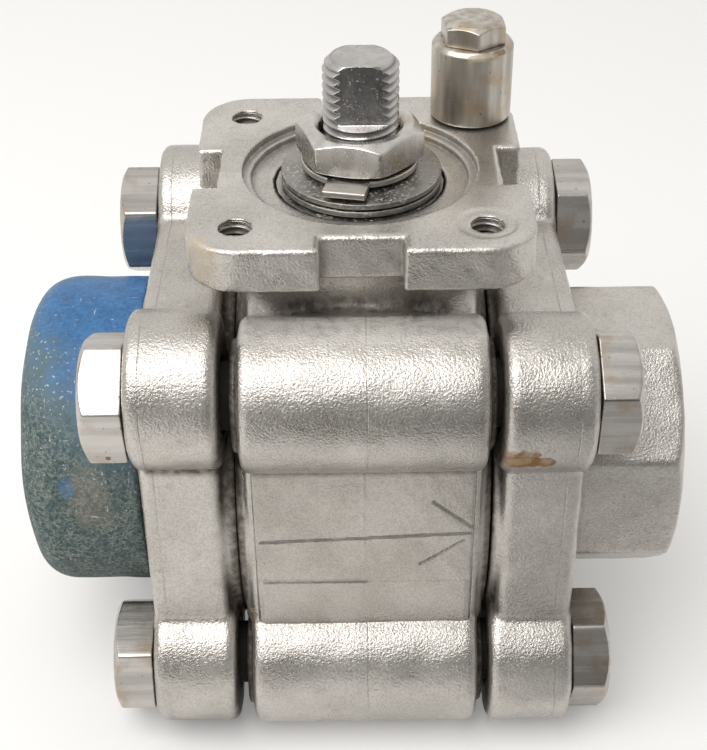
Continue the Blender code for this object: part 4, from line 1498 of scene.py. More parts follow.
        cap_finish = CastFinish("cast_end_cap", stains=rusty, mould_lines=cap_lines)
        # Darker copy of the cast tones: a painted shade on the front plate and in the tapped linings.
        shaded_front_finish = CastFinish(
            "cast_front_shaded", (0.43, 0.405, 0.37), (0.52, 0.49, 0.455), stains=worn, peel=0.08
        )
        side, front, half = self.boss_face + self.net_room, sum(left.lug_upper), self.pad_half
        low, high = (-side, -front, -front), (side, front, self.seam + self.seam_lap)
        lower = self.netted(self.lower_body, low, high, self.body_cell)
        # Painted shade in the gaps between the body's lugs and the end caps' lugs.
        start, full = (self.lug_face + reach for reach in self.body_gap)
        in_gap = smooth_step(np.abs(lower.points[:, 0]), start, full)
        lower.grime = np.maximum(lower.grime, self.gap_shade * in_gap)
        shop.put("body_skin", lower, Body.VALVE, body_finish, ["body"], weld=False)
        low, high = (-half, -half, self.seam - self.seam_lap), (half, half, self.pad_high)
        upper = self.netted(self.upper_body, low, high, self.pad_cell)
        # Less painted shade and grime on the pad.
        upper.grime *= self.pad_grime_and_shade
        shop.put("pad_skin", upper, Body.VALVE, pad_finish, ["body"], weld=False)
        for name, cap, turn in (("end_cap_right", right, 1.0), ("end_cap_left", left, -1.0)):
            low, high = (cap.cap_spigot[0], -front, -front), (cap.hub_face, front, front)
            skin = self.netted(cap.end_cap, low, high, self.cap_cell)
            # Painted shade on the end caps' side of the lug gaps.
            start, full = (cap.cap_lug[0] + reach for reach in self.cap_gap)
            in_gap = smooth_step(skin.points[:, 0], start, full)
            skin.grime = np.maximum(skin.grime, self.gap_shade * in_gap)
            skin.points = skin.points * (turn, turn, 1.0)
            shop.put(f"{name}_skin", skin, Body.VALVE, cap_finish, [name], weld=False)
        shop.put("front_plate", self.front_plate(), Body.VALVE, shaded_front_finish)
        for name, skin in self.threads().items():
            shop.put(name, skin, Body.VALVE, shaded_front_finish)

    def netted(self, shape: Field, low: Point, high: Point, cell: float) -> Skin:
        """Surface of a casting between two corners, with its grime."""
        return self.with_grime_and_shade(surface_net(shape, low, high, cell), shape)

    def front_plate(self) -> Skin:
        """Front face of the body between its lugs, with a sunk flow arrow and a raised panel.

        Each level z is a loop: along the face at -(web + relief), and back along a straight inner side.

        Returns:
            The plate, with painted shade in the sunk arrow, under the lugs and along the panel.
        """
        lines = (np.linspace(-half, half, int(2 * half / self.plate_pitch)) for half in self.plate_half)
        gx, gz = np.meshgrid(*lines)
        groove = np.zeros_like(gx)
        depth, size = self.arrow_ripple
        for start, end in self.arrow:
            away = segment_distance(gx, gz, start, end) + depth * ripple(gx, gz, gx, size)
            groove = np.maximum(groove, smooth_step(-away, *self.arrow_side))
        fade = smooth_step(gx, *self.panel_fade)
        rise, more = self.panel_rise
        step = smooth_step(gz, *self.panel_top) * (rise + more * fade)
        step = step * smooth_step(np.abs(gx), *self.panel_side)
        line = self.mould_rise * smooth_step(-np.abs(gx - self.mould_line), *self.mould_edge)
        line = line * smooth_step(gz, *self.mould_foot)
        depth, size = self.plate_ripple
        relief = step + line - self.arrow_depth * groove + depth * ripple(gx, gz, gx, size)
        bevel_from, bevel = self.plate_bevel
        slope = np.maximum(np.abs(gx) - bevel_from, 0) * bevel
        back = -self.web + self.plate_depth
        face = np.stack([gx, -(self.web + relief - slope), gz], axis=-1)
        inner = np.stack([gx[:, ::-1], np.full_like(gx, back), gz[:, ::-1]], axis=-1)
        face[[0, -1], :, 1] = back
        face[:, [0, -1], 1] = back
        skin = Skin.grid(np.concatenate([face, inner], axis=1), False, True)
        # Painted shade under the overhanging lugs, along the panel's step and in the sunk arrow.
        shade_under_lugs = self.under_lug_shade * smooth_step(np.abs(gz), *self.lug_shade)
        edge = self.panel_edge_shade * smooth_step(-np.abs(gz - self.panel_line), *self.panel_edge) * fade
        dirt_and_shade = np.maximum(np.maximum(self.arrow_shade * groove, shade_under_lugs), edge)
        skin.grime = np.concatenate([dirt_and_shade, np.zeros_like(dirt_and_shade)], axis=1).ravel()
        return skin

    def threads(self) -> dict[str, Skin]:
        """Tapped linings of the pad's free holes and of the two sockets.

        Returns:
            Each lining by name.
        """
        made = {}
        places = {"front_left": (-1, -1), "front_right": (1, -1), "back_left": (-1, 1)}
        low, high = self.pad_low - self.hole_foot, self.pad_high - self.hole_lip
        hole = self.hole_thread.lining(low, high, closed=True)
        for name, (x, y) in places.items():
            made[f"pad_thread_{name}"] = hole.moved(x * self.hole_offset, y * self.hole_offset, 0.0)
        inside, outside = self.socket_ends
        socket = self.socket_thread.lining(self.socket_floor + inside, self.hub_face - outside)
        for side in Side:
            made[f"socket_thread_{side.name.lower()}"] = socket.along_pipe(side)
        return made


@dataclass
class Bolts:
    """Eight hexagon bolts: a hexagon whose top is turned to a cone, a washer face and a shank."""

    flats: float = 17.0
    seats: Pair = (33.25, 32.7)
    washer_height: float = 0.42
    heads: Pair = (40.05, 39.2)
    washer_face: float = 7.7
    shank: float = 5.0
    tip: float = 3.7
    top_share: float = 0.93
    tip_chamfer: float = 1.0
    slope: float = math.radians(30)
    edge: float = 0.28
    # Painted shadow on the washer face and the shank, under the head and in the lug gaps.
    seat_grime: float = 0.97
    seat_fade: Pair = (0.4, 0.1)
    names: tuple[str, ...] = tuple(
        f"bolt_{side}_{row}"
        for side in ("left", "right")
        for row in ("front_upper", "front_lower", "back_upper", "back_lower")
    )

    def bolt(self, corner: float, seat: float, head_high: float) -> Skin:
        """One bolt about Z.

        At each angle the profile runs from the middle of the head's top out to the cone, down the
        hexagon's side, in to the washer face and along the shank to its tip.

        Args:
            corner: Angle of a corner of the hexagon.
            seat: Level of the washer face.
            head_high: Level of the head's top.

        Returns:
            The bolt.
        """
        angles = hex_angles(corner)
        side = hex_radius(angles, self.flats, corner)
        top = self.flats / 2 * self.top_share
        shoulder = head_high - (side - top) * math.tan(self.slope)
        under = seat + self.washer_height
        rows = [
            (0.0, head_high),
            (top, head_high),
            (side, shoulder),
            (side, under),
            (self.washer_face, under),
            (self.washer_face, seat),
            (self.shank, seat),
            (self.shank, self.tip + self.tip_chamfer),
            (self.shank - self.tip_chamfer, self.tip),
            (0.0, self.tip),
        ]
        skin = spin(softened(profiles(rows, side), self.edge), angles)
        x, y, z = skin.points.T
        rim = self.flats / 2
        inset, fade = self.seat_fade
        inside = smooth_step(np.hypot(x, y), rim, rim - inset)
        # Painted shadow below the head, on the washer face and the shank.
        skin.grime = self.seat_grime * smooth_step(z, under + fade, under - fade) * inside
        return skin

    def build(self, shop: Workshop) -> None:
        """Make each bolt at its node's axis, turned as the node is.

        Args:
            shop: Workshop that places them.
        """
        specks = (Stain((-36.3, -33.6, 20.9), 0.7, RUST, 0.9),)
        finish = DrawnFinish(
            "bolt_stainless",
            (0.55, 0.525, 0.495),
            (0.40, 0.335, 0.265),
            0.27,
            (0.06, 1.0, 1.0),
            streak=0.72,
            film_low=0.48,
            film_high=0.72,
            stains=specks,
        )
        for name in self.names:
            side = Side.LEFT if "left" in name else Side.RIGHT
            turn = shop.corner_angle(name)
            seat, head_high = (pair[0 if side is Side.LEFT else 1] for pair in (self.seats, self.heads))
            corner = turn if side is Side.RIGHT else math.pi - turn
            skin = self.bolt(corner, seat, head_high).along_pipe(side)
            _, y, z = shop.middle(name)
            shop.put(f"{name}_skin", skin.moved(0.0, y, z), Body.VALVE, finish, [name])


@dataclass
class StemStack:
    """Stem, nut, tab washer and disc springs, which turn together."""

    crest: float = 5.6
    root: float = 4.95
    pitch: float = 1.3
    lean: float = 0.22
    root_grime_and_shade: float = 0.6
    angle_steps: tuple[Point, ...] = ((0, 34, 6), (35, 49, 0.8), (52, 90, 5))
    crown: tuple[float, ...] = (0.9, 0.6, 0.3, 0.0)
    turned_edge: float = 0.2
    top: float = 66.8
    top_chamfer: float = 1.15
    flat: float = 3.95
    flat_low: float = 57.3
    flat_run: Point = (3.0, 0.5, 0.2)
    thread_low: float = 47.8
    thread_steps: int = 14
    thread_run: float = 1.2
    thread_foot: float = 0.3
    chamfer_slope: float = 1.05
    shank: float = 6.0
    collar: tuple[float, float, float] = (8.5, 18.9, 22.0)
    groove: tuple[float, float, float] = (4.5, 25.9, 27.9)
    tang_half: Point = (3.9, 7.0, 3.5)
    tang_middle: float = 17.3
    tang_box: tuple[Point, Point] = ((-4.0, -7.1, 13.7), (4.0, 7.1, 20.9))
    tang_edge: float = 0.5
    tang_cell: float = 0.5
    nut_flats: float = 17.0
    nut_low: float = 51.37
    nut_high: float = 56.67
    nut_corner: float = math.radians(-12)
    nut_face: float = 0.94
    nut_slope: float = math.radians(30)
    nut_sinks: Pair = (0.6, 0.75)
    nut_under: float = 0.6
    edge: float = 0.25
    bore: float = 6.0
    washer_low: float = 50.07
    washer_high: float = 51.07
    washer_radius: float = 8.75
    tab_steps: tuple[tuple[float, float, int], ...] = ((-30, 30, 121), (33, 327, 90))
    tab_half: float = 3.15
    tab_reach: float = 12.1
    tab_angle: float = math.radians(-102)
    tab_blend: float = 0.3
    tab_edge: float = 0.28
    spring_radius: float = 12.0
    spring_shift: float = 0.25
    spring_bore: float = 6.3
    spring_thick: float = 0.9
    spring_cone: float = 0.6
    spring_rims: Pair = (47.07, 48.27)
    spring_sides: int = 128

    def stem(self) -> Skin:
        """Threaded stem with two flats, its collar and its tang.

        The thread is a helicoid of radius root + (crest - root) * thread_wave(z/pitch - a), held below a
        cone at the top, and cut at y = +-flat over the flats.

        Returns:
            The stem, with painted shade and grime in the thread's root.
        """
        edge = np.radians(np.concatenate([np.arange(*steps) for steps in self.angle_steps]))
        quarter = np.concatenate([edge, math.pi - edge[::-1]])
        angles = np.sort(np.concatenate([quarter, quarter + math.pi])) + math.pi / 2
        turns = (self.top - self.thread_low) / self.pitch
        z = np.linspace(self.thread_low, self.top, int(turns * self.thread_steps))
        wave = thread_wave(z[None, :] / self.pitch - angles[:, None] / TURN)
        start = smooth_step(z, self.thread_low, self.thread_low + self.thread_run)
        radius = self.crest - (self.crest - self.root) * (1 - wave) * start
        limit = self.crest - np.maximum(z - self.top + self.top_chamfer, 0) * self.chamfer_slope
        radius = np.minimum(radius, limit)
        height = np.broadcast_to(z, radius.shape)
        collar, collar_low, collar_high = self.collar
        groove, groove_low, groove_high = self.groove
        below = [
            (0.0, collar_low),
            (collar, collar_low),
            (collar, collar_high),
            (self.shank, collar_high),
            (self.shank, groove_low),
            (groove, groove_low),
            (groove, groove_high),
            (self.shank, groove_high),
            (self.shank, self.thread_low - self.thread_foot),
            (self.crest, self.thread_low),
        ]
        lower = softened(np.array(below), self.turned_edge)
        lower = np.broadcast_to(lower, (len(angles), *lower.shape))
        shares = np.array(self.crown)
        level = np.full((len(angles), len(shares)), self.top)
        crown = np.stack([radius[:, -1:] * shares, level], axis=-1)
        profile = np.concatenate([lower, np.stack([radius, height], axis=-1), crown], axis=1)
        held = np.zeros(profile.shape[:2])
        # Painted shade with grime in the thread's root.
        held[:, lower.shape[1] : -len(shares)] = self.root_grime_and_shade * (1 - wave) ** 2 * start
        skin = spin(profile, angles)
        x, y, z = skin.points.T
        run, above, below = self.flat_run
        clip = self.flat + run * smooth_step(z, self.flat_low + above, self.flat_low - below)
        clip = np.where(z < self.flat_low - below, self.top, clip)
        held = np.where(np.abs(y) > clip, 0.0, held.ravel())
        skin.points = np.stack([x, np.clip(y, -clip, clip), z], axis=1)
        tang = surface_net(self.tang, *self.tang_box, self.tang_cell)
        stem = Skin.joined([skin, tang])
        stem.grime = np.concatenate([held, np.zeros(len(tang.points))])
        return stem

    def tang(self, x: Array, y: Array, z: Array) -> Array:
        """Distance to the block at the stem's foot that fits the ball's slot."""
        return block(x, y, z - self.tang_middle, self.tang_half, self.tang_edge)

    def nut(self) -> Skin:
        """Hexagon nut, both faces turned to cones at the corners, with a countersunk bore.

        Returns:
            The nut.
        """
        angles = hex_angles(self.nut_corner)
        side = hex_radius(angles, self.nut_flats, self.nut_corner)
        face = self.nut_flats / 2 * self.nut_face
        drop = (side - face) * math.tan(self.nut_slope)
        below, above = self.nut_sinks
        rows = [
            (self.bore, self.nut_low + below),
            (self.bore + below, self.nut_low),
            (face, self.nut_low),
            (side, self.nut_low + self.nut_under * drop),
            (side, self.nut_high - drop),
            (face, self.nut_high),
            (self.bore + above, self.nut_high),
            (self.bore, self.nut_high - above),
        ]
        return spin(softened(profiles(rows, side), self.edge, True), angles, True)

    def tab_washer(self) -> Skin:
        """Flat washer whose rim is the larger of a circle and the tab's rectangle at each angle.

        Returns:
            The washer.
        """
        angles = np.radians(np.concatenate([np.linspace(*steps) for steps in self.tab_steps]))
        least = 1e-3
        ahead = self.tab_reach / np.maximum(np.cos(angles), least)
        aside = self.tab_half / np.maximum(np.abs(np.sin(angles)), least)
        reach = np.where(np.cos(angles) > 0, np.minimum(ahead, aside), 0.0)
        rim = -blend_min(np.full_like(reach, -self.washer_radius), -reach, self.tab_blend)
        rows = [
            (self.bore, self.washer_low),
            (rim, self.washer_low),
            (rim, self.washer_high),
            (self.bore, self.washer_high),
        ]
        return spin(softened(profiles(rows, rim), self.tab_edge, True), angles + self.tab_angle, True)

    def spring(self, rim: float) -> Skin:
        """Disc spring: a cone of even thickness that rises from its rim to its bore.

        Args:
            rim: Level of the rim's underside.

        Returns:
            The spring.
        """
        bore, cone, thick = self.spring_bore, self.spring_cone, self.spring_thick
        ring = [
            (bore, rim + cone),
            (self.spring_radius, rim),
            (self.spring_radius, rim + thick),
            (bore, rim + cone + thick),
        ]
        return spin(softened(np.array(ring), self.edge, True), round_angles(self.spring_sides), True)

    def build(self, shop: Workshop) -> None:
        """Make and dress the stem and what is on it.

        Args:
            shop: Workshop that places them.
        """
        stem_finish = DrawnFinish(
            "stem_stainless",
            (0.51, 0.495, 0.485),
            (0.38, 0.34, 0.31),
            0.20,
            (1.0, 1.0, 0.3),
            line_depth=0.03,
            dust=0.02,
        )
        nut_finish = DrawnFinish(
            "nut_stainless", (0.62, 0.60, 0.57), (0.50, 0.43, 0.34), 0.27, (1.0, 1.0, 0.25), dust=0.2
        )
        even = (0.6, 0.6, 0.6)
        spring_finish = DrawnFinish(
            "spring_steel", (0.32, 0.31, 0.295), (0.27, 0.245, 0.21), 0.38, even, dust=0.6
        )
        washer_finish = DrawnFinish(
            "washer_steel", (0.56, 0.54, 0.51), (0.46, 0.40, 0.33), 0.33, even, dust=0.35
        )
        stem = self.stem().moved(self.lean, 0.0, 0.0)
        shop.put("stem_skin", stem, Body.STEM, stem_finish, ["stem"])
        shop.put("stem_nut_skin", self.nut(), Body.STEM, nut_finish, ["stem_nut"])
        washer = self.tab_washer()
        shop.put("tab_washer_skin", washer, Body.STEM, washer_finish, ["tab_washer"])
        for name, rim in zip(("disc_spring_lower", "disc_spring_upper"), self.spring_rims):
            spring = self.spring(rim).moved(self.spring_shift, 0.0, 0.0)
            shop.put(f"{name}_skin", spring, Body.STEM, spring_finish, [name])


@dataclass
class StopPost:
    """Sleeve on the pad's back right corner, held by a hexagon screw."""

    place: Pair = (17.8, 17.68)
    bore: float = 3.3
    radius: float = 6.35
    low: float = 49.57
    high: float = 61.85
    flats: float = 9.2
    head_low: float = 61.87
    head_high: float = 65.27
    corner: float = math.radians(-24.5)
    shank: float = 3.0
    core: float = 2.2
    tip: float = 42.5
    foot: Pair = (0.2, 0.3)
    bevel: Pair = (0.55, 0.7)
    sleeve_edge: float = 0.18
    sides: int = 112
    top_share: float = 0.95
    crown: Pair = (0.35, 0.25)
    slope: float = math.radians(32)
    screw_edge: float = 0.2

    def sleeve(self) -> Skin:
        """Turned sleeve with a bevelled top edge.

        Returns:
            The sleeve about Z.
        """
        (foot, foot_rise), (bevel, bevel_drop) = self.foot, self.bevel
        ring = [
            (self.bore, self.low),
            (self.radius - foot, self.low),
            (self.radius, self.low + foot_rise),
            (self.radius, self.high - bevel_drop),
            (self.radius - bevel, self.high),
            (self.bore, self.high),
        ]
        return spin(softened(np.array(ring), self.sleeve_edge, True), round_angles(self.sides), True)

    def screw(self) -> Skin:
        """Hexagon screw with a round crown on its head.

        Returns:
            The screw about Z.
        """
        angles = hex_angles(self.corner)
        side = hex_radius(angles, self.flats, self.corner)
        top = self.flats / 2 * self.top_share
        inset, rise = self.crown
        shoulder = self.head_high - rise - (side - top) * math.tan(self.slope)
        rows = [
            (0.0, self.head_high),
            (top - inset, self.head_high),
            (top, self.head_high - rise),
            (side, shoulder),
            (side, self.head_low),
            (self.shank, self.head_low),
            (self.shank, self.low),
            (self.core, self.low),
            (self.core, self.tip),
            (0.0, self.tip),
        ]
        return spin(softened(profiles(rows, side), self.screw_edge), angles)

    def build(self, shop: Workshop) -> None:
        """Make and dress the post.

        Args:
            shop: Workshop that places it.
        """
        rusty = (
            Stain((20.9, 12.2, 61.6), 0.8, RUST, 0.8, (22.3, 13.3, 61.6)),
            Stain((12.3, 13.9, 61.6), 0.7, RUST, 0.7, (12.8, 13.1, 61.6)),
            Stain((17.0, 11.3, 61.2), 0.9, TARNISH, 0.6, (21.0, 12.1, 61.2)),
        )
        finish = DrawnFinish(
            "stop_stainless",
            (0.60, 0.56, 0.50),
            (0.43, 0.34, 0.24),
            0.35,
            (1.0, 1.0, 0.12),
            line_depth=0.006,
            streak=0.6,
            film_low=0.45,
            film_high=0.75,
            stains=rusty,
        )
        x, y = self.place
        for name, skin in (("stop_sleeve", self.sleeve()), ("stop_screw", self.screw())):
            shop.put(f"{name}_skin", skin.moved(x, y, 0.0), Body.VALVE, finish, [name])


@dataclass
class BallAndSeats:
    """Ball with its port and slot, and the polymer rings that it turns between."""

    radius: float = 18.0
    port: float = 12.0
    slot_half: float = 4.2
    slot_floor: float = 13.5
    seat_sphere: float = 18.3
    seat_bore: float = 12.3
    seat_radius: float = 18.3
    seat_back: float = 17.2
    seat_rim: float = 15.6
    grid_shift: float = 0.17
    port_edge: float = 0.8
    slot_edge: float = 0.5
    cell: float = 0.5
    seat_edge: float = 0.15
    seat_steps: int = 9
    seat_sides: int = 120

    def ball(self, x: Array, y: Array, z: Array) -> Array:
        """Sphere less a round port along the pipe and a slot across it, their edges broken.

        Args:
            x: Place along the pipe.
            y: Place to the back.
            z: Place up the stem.

        Returns:
            Distance, negative inside.
        """
        shape = np.sqrt(x * x + y * y + z * z) - self.radius
        shape = blend_max(shape, self.port - np.hypot(y, z), self.port_edge)
        slot = np.maximum(np.abs(x) - self.slot_half, self.slot_floor - z)
        return blend_max(shape, -slot, self.slot_edge)

    def seat(self) -> Skin:
        """Ring whose inner side follows the ball: (s cos a, s sin a) about the ball's centre.

        Returns:
            The ring about Z.
        """
        first, last = (math.acos(reach / self.seat_sphere) for reach in (self.seat_rim, self.seat_bore))
        angle = np.linspace(first, last, self.seat_steps)
        cup = np.stack([self.seat_sphere * np.cos(angle), self.seat_sphere * np.sin(angle)], axis=1)
        back = [
            (self.seat_bore, self.seat_back),
            (self.seat_radius, self.seat_back),
            (self.seat_radius, cup[0, 1]),
        ]
        ring = softened(np.concatenate([back, cup]), self.seat_edge, True)
        return spin(ring, round_angles(self.seat_sides), True)

    def build(self, shop: Workshop) -> None:
        """Make and dress the ball and its seats.

        Args:
            shop: Workshop that places them.
        """
        finish = DrawnFinish(
            "ball_stainless",
            (0.70, 0.69, 0.67),
            (0.60, 0.58, 0.54),
            0.12,
            (1.0, 0.15, 0.15),
            line_depth=0.004,
        )
        low, high = (-self.radius - self.grid_shift,) * 3, (self.radius,) * 3
        ball = surface_net(self.ball, low, high, self.cell)
        shop.put("ball_skin", ball, Body.BALL, finish, ["ball"], weld=False)
        polymer = PolymerFinish(
            "seat_polymer", (0.80, 0.79, 0.75), (0.70, 0.68, 0.62), 0.5, (1.0, 0.2, 0.2)
        )
        for side in Side:
            name = f"seat_{side.name.lower()}"
            seat = self.seat().along_pipe(side)
            shop.put(f"{name}_skin", seat, Body.VALVE, polymer, [name])
            shop.dress(f"body_seal_{side.name.lower()}", polymer)


@dataclass
class HiddenSeals:
    """Stem seals inside the body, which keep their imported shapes."""

    packing: tuple[str, ...] = ("stem_thrust_washer", "packing_lower", "packing_middle", "packing_upper")
    ring: str = "stem_o_ring"
    follower: str = "gland_follower"

    def build(self, shop: Workshop) -> None:
        """Dress each seal.

        Args:
            shop: Workshop that places them.
        """
        turned = (0.2, 0.2, 1.0)
        packing = PolymerFinish("packing_polymer", (0.74, 0.72, 0.66), (0.64, 0.61, 0.54), 0.55, turned)
        rubber = PolymerFinish("seal_rubber", (0.022, 0.022, 0.022), (0.035, 0.034, 0.033), 0.6, turned)
        steel = DrawnFinish(
            "follower_steel", (0.42, 0.41, 0.39), (0.34, 0.30, 0.25), 0.36, turned, dust=0.6
        )
        for node in self.packing:
            shop.dress(node, packing)
        shop.dress(self.ring, rubber)
        shop.dress(self.follower, steel)


@dataclass
class ProtectiveCap:
    """Plastic cup pushed over the left hub."""

    inner: float = 24.1
    outer: float = 25.3
    lift: float = 1.05
    rim: float = 34.2
    floor: float = 50.2
    reach: float = 52.9
    rounding: float = 6.0
    inner_bevel: float = 1.5
    lip: float = 0.5
    lip_middle: Pair = (0.15, 0.12)
    lip_bevel: float = 0.3
    sides: int = 180
    steps: tuple[int, int, int] = (15, 14, 20)
    waves: tuple[tuple[float, int, float, float], ...] = (
        (0.10, 2, 0.7, 0.0),
        (0.07, 5, 0.0, 0.35),
        (0.05, 9, 0.0, -0.8),
    )
    dent_depth: float = 0.12
    dent_waves: Point = (0.35, 0.8, 0.3)
    dent_range: Pair = (46.0, 52.0)

    def profile(self) -> Array:
        """Outer side from the middle of the closed end to the rim, the lip, and back inside.

        Returns:
            Radius and height of each corner.
        """
        dome_steps, corner_steps, wall_steps = self.steps
        angle = np.linspace(math.pi / 2, 0, corner_steps)
        across = self.outer - self.rounding + self.rounding * np.cos(angle)
        corner = np.stack([across, self.reach - self.rounding + self.rounding * np.sin(angle)], axis=1)
        middle = np.linspace(0, corner[0, 0], dome_steps + 1)[:-1]
        dome = np.stack([middle, np.full(dome_steps, self.reach)], axis=1)
        down = np.linspace(corner[-1, 1], self.rim + self.lip, wall_steps + 1)[1:]
        wall = np.stack([np.full(wall_steps, self.outer), down], axis=1)
        inset, rise = self.lip_middle
        inside = [
            (self.outer - inset, self.rim + rise),
            (self.outer - self.lip, self.rim),
            (self.inner + self.lip_bevel, self.rim),
            (self.inner, self.rim + self.lip_bevel),
            (self.inner, self.floor - self.inner_bevel),
            (self.inner - self.inner_bevel, self.floor),
            (0.0, self.floor),
        ]
        return np.concatenate([dome, corner, wall, inside])

    def cup(self) -> Skin:
        """Cup about Z, its outer side uneven by slow waves.

        At angle a and height h a wave moves the wall out by depth * sin(count * a + phase + along * h).
        The closed end is dented by a product of two sine waves across it.

        Returns:
            The cup, its closed end up.
        """
        angles = round_angles(self.sides)
        profile = self.profile()
        shell = np.broadcast_to(profile, (len(angles), *profile.shape)).copy()
        a = angles[:, None]
        outside = shell[:, : sum(self.steps)]
        r, h = outside.transpose(2, 0, 1)
        sway = np.zeros_like(r)
        for depth, count, phase, along in self.waves:
            sway += depth * np.sin(count * a + phase + along * h)
        r = r + sway * np.clip(r / self.outer, 0, 1) ** 2
        along_x, shift, along_y = self.dent_waves
        dent = self.dent_depth * np.sin(along_x * r * np.cos(a) + shift)
        dent = dent * np.sin(along_y * r * np.sin(a))
        outside[...] = np.stack([r, h + dent * smooth_step(h, *self.dent_range)], axis=-1)
        return spin(shell, angles)

    def build(self, shop: Workshop) -> None:
        """Make and dress the cap.

        Args:
            shop: Workshop that places it.
        """
        skin = self.cup().along_pipe(Side.LEFT).moved(0.0, 0.0, self.lift)
        shop.put("protective_cap_skin", skin, Body.CAP, CapFinish(), ["protective_cap"])


@dataclass
class Studio:
    """Camera, soft lights, a pale floor and the cards that tone the reflections.

    Attributes:
        camera_at: Camera's place about the ball's centre, in millimetres.
        yaw: Turn of the view from +Y towards +X, in degrees.
        pitch: Rise of the view, in degrees.
        roll: Turn about the view, in degrees.
        focal: Focal length in pixels of the picture.
        picture: Width and height of the picture in pixels.
        floor_glow: Share of white that the floor is lifted by.
        lamp_elevation: Angle of both soft boxes above the floor, in degrees.
        key: Place along X, width and radiance of the main soft box, in metres.
        fill: The same of the dimmer one.
        sky_fade: Where along Y the front sky turns into the back one, on a unit sphere.
        card_edges: Y and Z of the cards' long edges, from the valve outwards, in metres.
        cards: Name, left end and tone of each card, which only reflections see.
    """

    camera_at: Point = (-1.993, -198.834, 151.715)
    yaw: float = 0.219
    pitch: float = -35.291
    roll: float = -0.568
    focal: float = 1480.433
    picture: tuple[int, int] = (707, 750)
    sensor: float = 36.0
    nearest: float = 0.01
    floor_half: float = 60.0
    floor_colour: Colour = (0.855, 0.84, 0.82)
    floor_rough: float = 0.55
    floor_glow: float = 0.18
    lamp_height: float = 0.56
    lamp_distance: float = 0.68
    lamp_elevation: float = 64.0
    key: tuple[float, float, float] = (-0.41, 0.92, 3.7)
    fill: tuple[float, float, float] = (0.30, 0.56, 0.05)
    sky_front: float = 0.36
    sky_back: float = 0.95
    sky_fade: Pair = (-0.7, 0.5)
    sky_colour: Colour = (1.0, 0.985, 0.96)
    card_right: float = 0.16
    card_edges: tuple[Pair, ...] = ((-0.045, 0.003), (-0.112, 0.004), (-0.134, 0.0272), (-0.172, 0.0674))
    cards: tuple[tuple[str, float, float], ...] = (
        ("side_card", 0.024, 0.42),
        ("grey_card", -0.040, 0.54),
        ("dark_card", -0.036, 0.035),
    )
    card_rough: float = 0.9
    mottle_size: float = 60.0
    mottle_tone: float = 0.985

    @staticmethod
    def stand(name: str, data: bpy.types.ID, axes: Sequence[Array], at: Array) -> bpy.types.Object:
        """Put a camera or a lamp in its place.

        Args:
            name: Its name.
            data: Its settings.
            axes: Directions of its own X, Y and Z.
            at: Its place in metres.

        Returns:
            The object.
        """
        obj = bpy.data.objects.new(name, data)
        bpy.context.scene.collection.objects.link(obj)
        rows = [(*row, place) for row, place in zip(np.stack(axes, axis=1), at)]
        obj.matrix_world = Matrix((*rows, (0.0, 0.0, 0.0, 1.0)))
        return obj

    def camera(self, centre: Array) -> None:
        """Place the camera that the fit to the picture gave.

        Args:
            centre: Ball's centre in the frame.
        """
        yaw, pitch, roll = (math.radians(angle) for angle in (self.yaw, self.pitch, self.roll))
        ahead = np.array(
            [math.sin(yaw) * math.cos(pitch), math.cos(yaw) * math.cos(pitch), math.sin(pitch)]
        )
        level = np.array([math.cos(yaw), -math.sin(yaw), 0.0])
        rise = np.cross(level, ahead)
        right = math.cos(roll) * level + math.sin(roll) * rise
        up = math.cos(roll) * rise - math.sin(roll) * level
        data = bpy.data.cameras.new("camera")
        data.sensor_width = self.sensor
        data.lens = self.focal * self.sensor / max(self.picture)
        data.clip_start = self.nearest
        at = np.array(self.camera_at) * MM + centre
        bpy.context.scene.camera = self.stand("camera", data, (right, up, -ahead), at)

    def lamp(self, name: str, at: Array, aim: Array, size: Pair, radiance: float) -> None:
        """Soft box that faces a point.

        Args:
            name: Name of the lamp.
            at: Its place in metres.
            aim: Point that it faces.
            size: Its width and height in metres.
            radiance: Its brightness, whose power is radiance * pi * area.
        """
        data = bpy.data.lights.new(name, "AREA")
        data.shape = "RECTANGLE"
        data.size, data.size_y = size
        data.energy = radiance * math.pi * size[0] * size[1]
        back = np.subtract(at, aim)
        back = back / np.linalg.norm(back)
        side = np.cross((0.0, 0.0, 1.0), back)
        side = side / np.linalg.norm(side)
        self.stand(name, data, (side, np.cross(back, side), back), at)

    def sheet(
        self, name: str, corners: Sequence[Point], colour: Colour, roughness: float, glow: float = 0.0
    ) -> bpy.types.Object:
        """Flat sheet of the studio, slightly mottled.

        Args:
            name: Its name.
            corners: Its four corners in metres.
            colour: Its colour.
            roughness: Its roughness.
            glow: Share of white that it is lifted by.

        Returns:
            The sheet.
        """
        mesh = bpy.data.meshes.new(name)
        mesh.from_pydata(corners, [], [(0, 1, 2, 3)])
        graph = Graph(name, np.zeros(3))
        darker = tuple(self.mottle_tone * part for part in colour)
        mottle = graph.mix(graph.noise(self.mottle_size, 3.0), colour, darker)
        mesh.materials.append(graph.shade(Base_Color=mottle, Roughness=roughness))
        if glow:
            graph.whiten(glow)
        obj = bpy.data.objects.new(name, mesh)
        bpy.context.scene.collection.objects.link(obj)
        obj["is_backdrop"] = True
        return obj

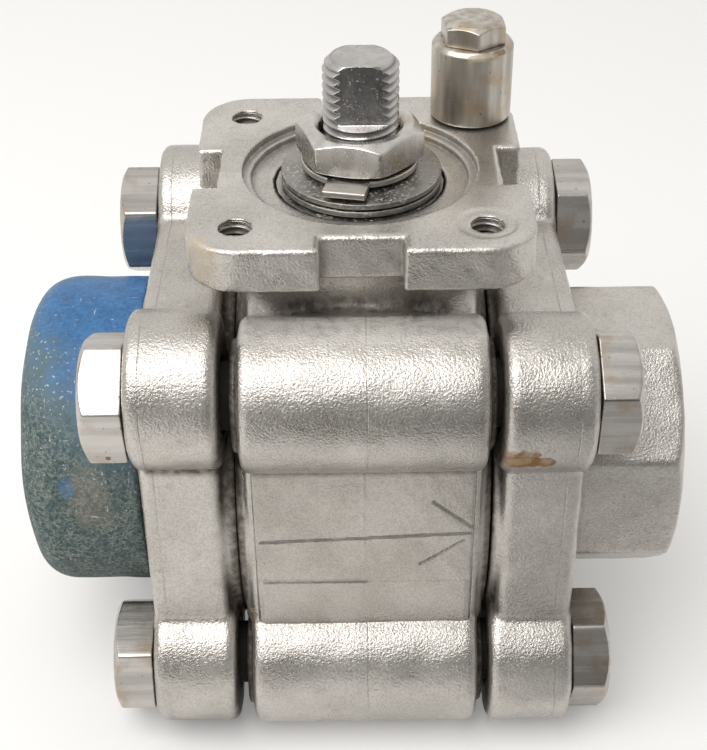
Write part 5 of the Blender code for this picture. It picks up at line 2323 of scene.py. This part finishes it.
    def world(self) -> None:
        """Set a sky that is brighter behind the valve than in front."""
        world = bpy.data.worlds.new("studio")
        bpy.context.scene.world = world
        world.use_nodes = True
        tree = world.node_tree
        background = tree.nodes["Background"]
        where = tree.nodes.new("ShaderNodeTexCoord")
        split = tree.nodes.new("ShaderNodeSeparateXYZ")
        fade = tree.nodes.new("ShaderNodeMapRange")
        fade.interpolation_type = "SMOOTHSTEP"
        ends = ("From Min", "From Max", "To Min", "To Max")
        for name, value in zip(ends, (*self.sky_fade, self.sky_front, self.sky_back)):
            fade.inputs[name].default_value = value
        tree.links.new(where.outputs["Generated"], split.inputs[0])
        tree.links.new(split.outputs["Y"], fade.inputs["Value"])
        tree.links.new(fade.outputs["Result"], background.inputs["Strength"])
        background.inputs["Color"].default_value = (*self.sky_colour, 1.0)

    def build(self, centre: Array) -> None:
        """Set the studio up.

        Args:
            centre: Ball's centre in the frame.
        """
        self.camera(centre)
        self.world()
        rise = math.radians(self.lamp_elevation)
        back, up = -self.lamp_distance * math.cos(rise), self.lamp_distance * math.sin(rise)
        for name, (side, width, radiance) in (("key", self.key), ("fill", self.fill)):
            at, aim = centre + (side, back, up), centre + (side, 0.0, 0.0)
            self.lamp(name, at, aim, (width, self.lamp_height), radiance)
        half = self.floor_half
        floor = [(-half, -half, 0.0), (half, -half, 0.0), (half, half, 0.0), (-half, half, 0.0)]
        self.sheet("floor", floor, self.floor_colour, self.floor_rough, self.floor_glow)
        right = self.card_right
        for near, far, (name, left, tone) in zip(self.card_edges, self.card_edges[1:], self.cards):
            corners = [(left, *near), (right, *near), (right, *far), (left, *far)]
            card = self.sheet(name, corners, (tone, tone, tone), self.card_rough)
            card.visible_camera = False
            card.visible_diffuse = False
            card.visible_shadow = False
        bpy.context.scene.view_settings.view_transform = "Standard"


def main() -> None:
    """Build every piece of the valve, and the studio round it."""
    logging.basicConfig(level=logging.INFO, format="%(message)s")
    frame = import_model()
    packed_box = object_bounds()
    shop = Workshop(frame)
    assemblies = (
        Castings(),
        Bolts(),
        StemStack(),
        StopPost(),
        BallAndSeats(),
        HiddenSeals(),
        ProtectiveCap(),
    )
    for assembly in assemblies:
        assembly.build(shop)
    Studio().build(shop.centre)
    boxes = {"cad": packed_box, "visual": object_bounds()}
    boxes = {name: [list(corner) for corner in box] for name, box in boxes.items()}


if __name__ == "__main__":
    main()
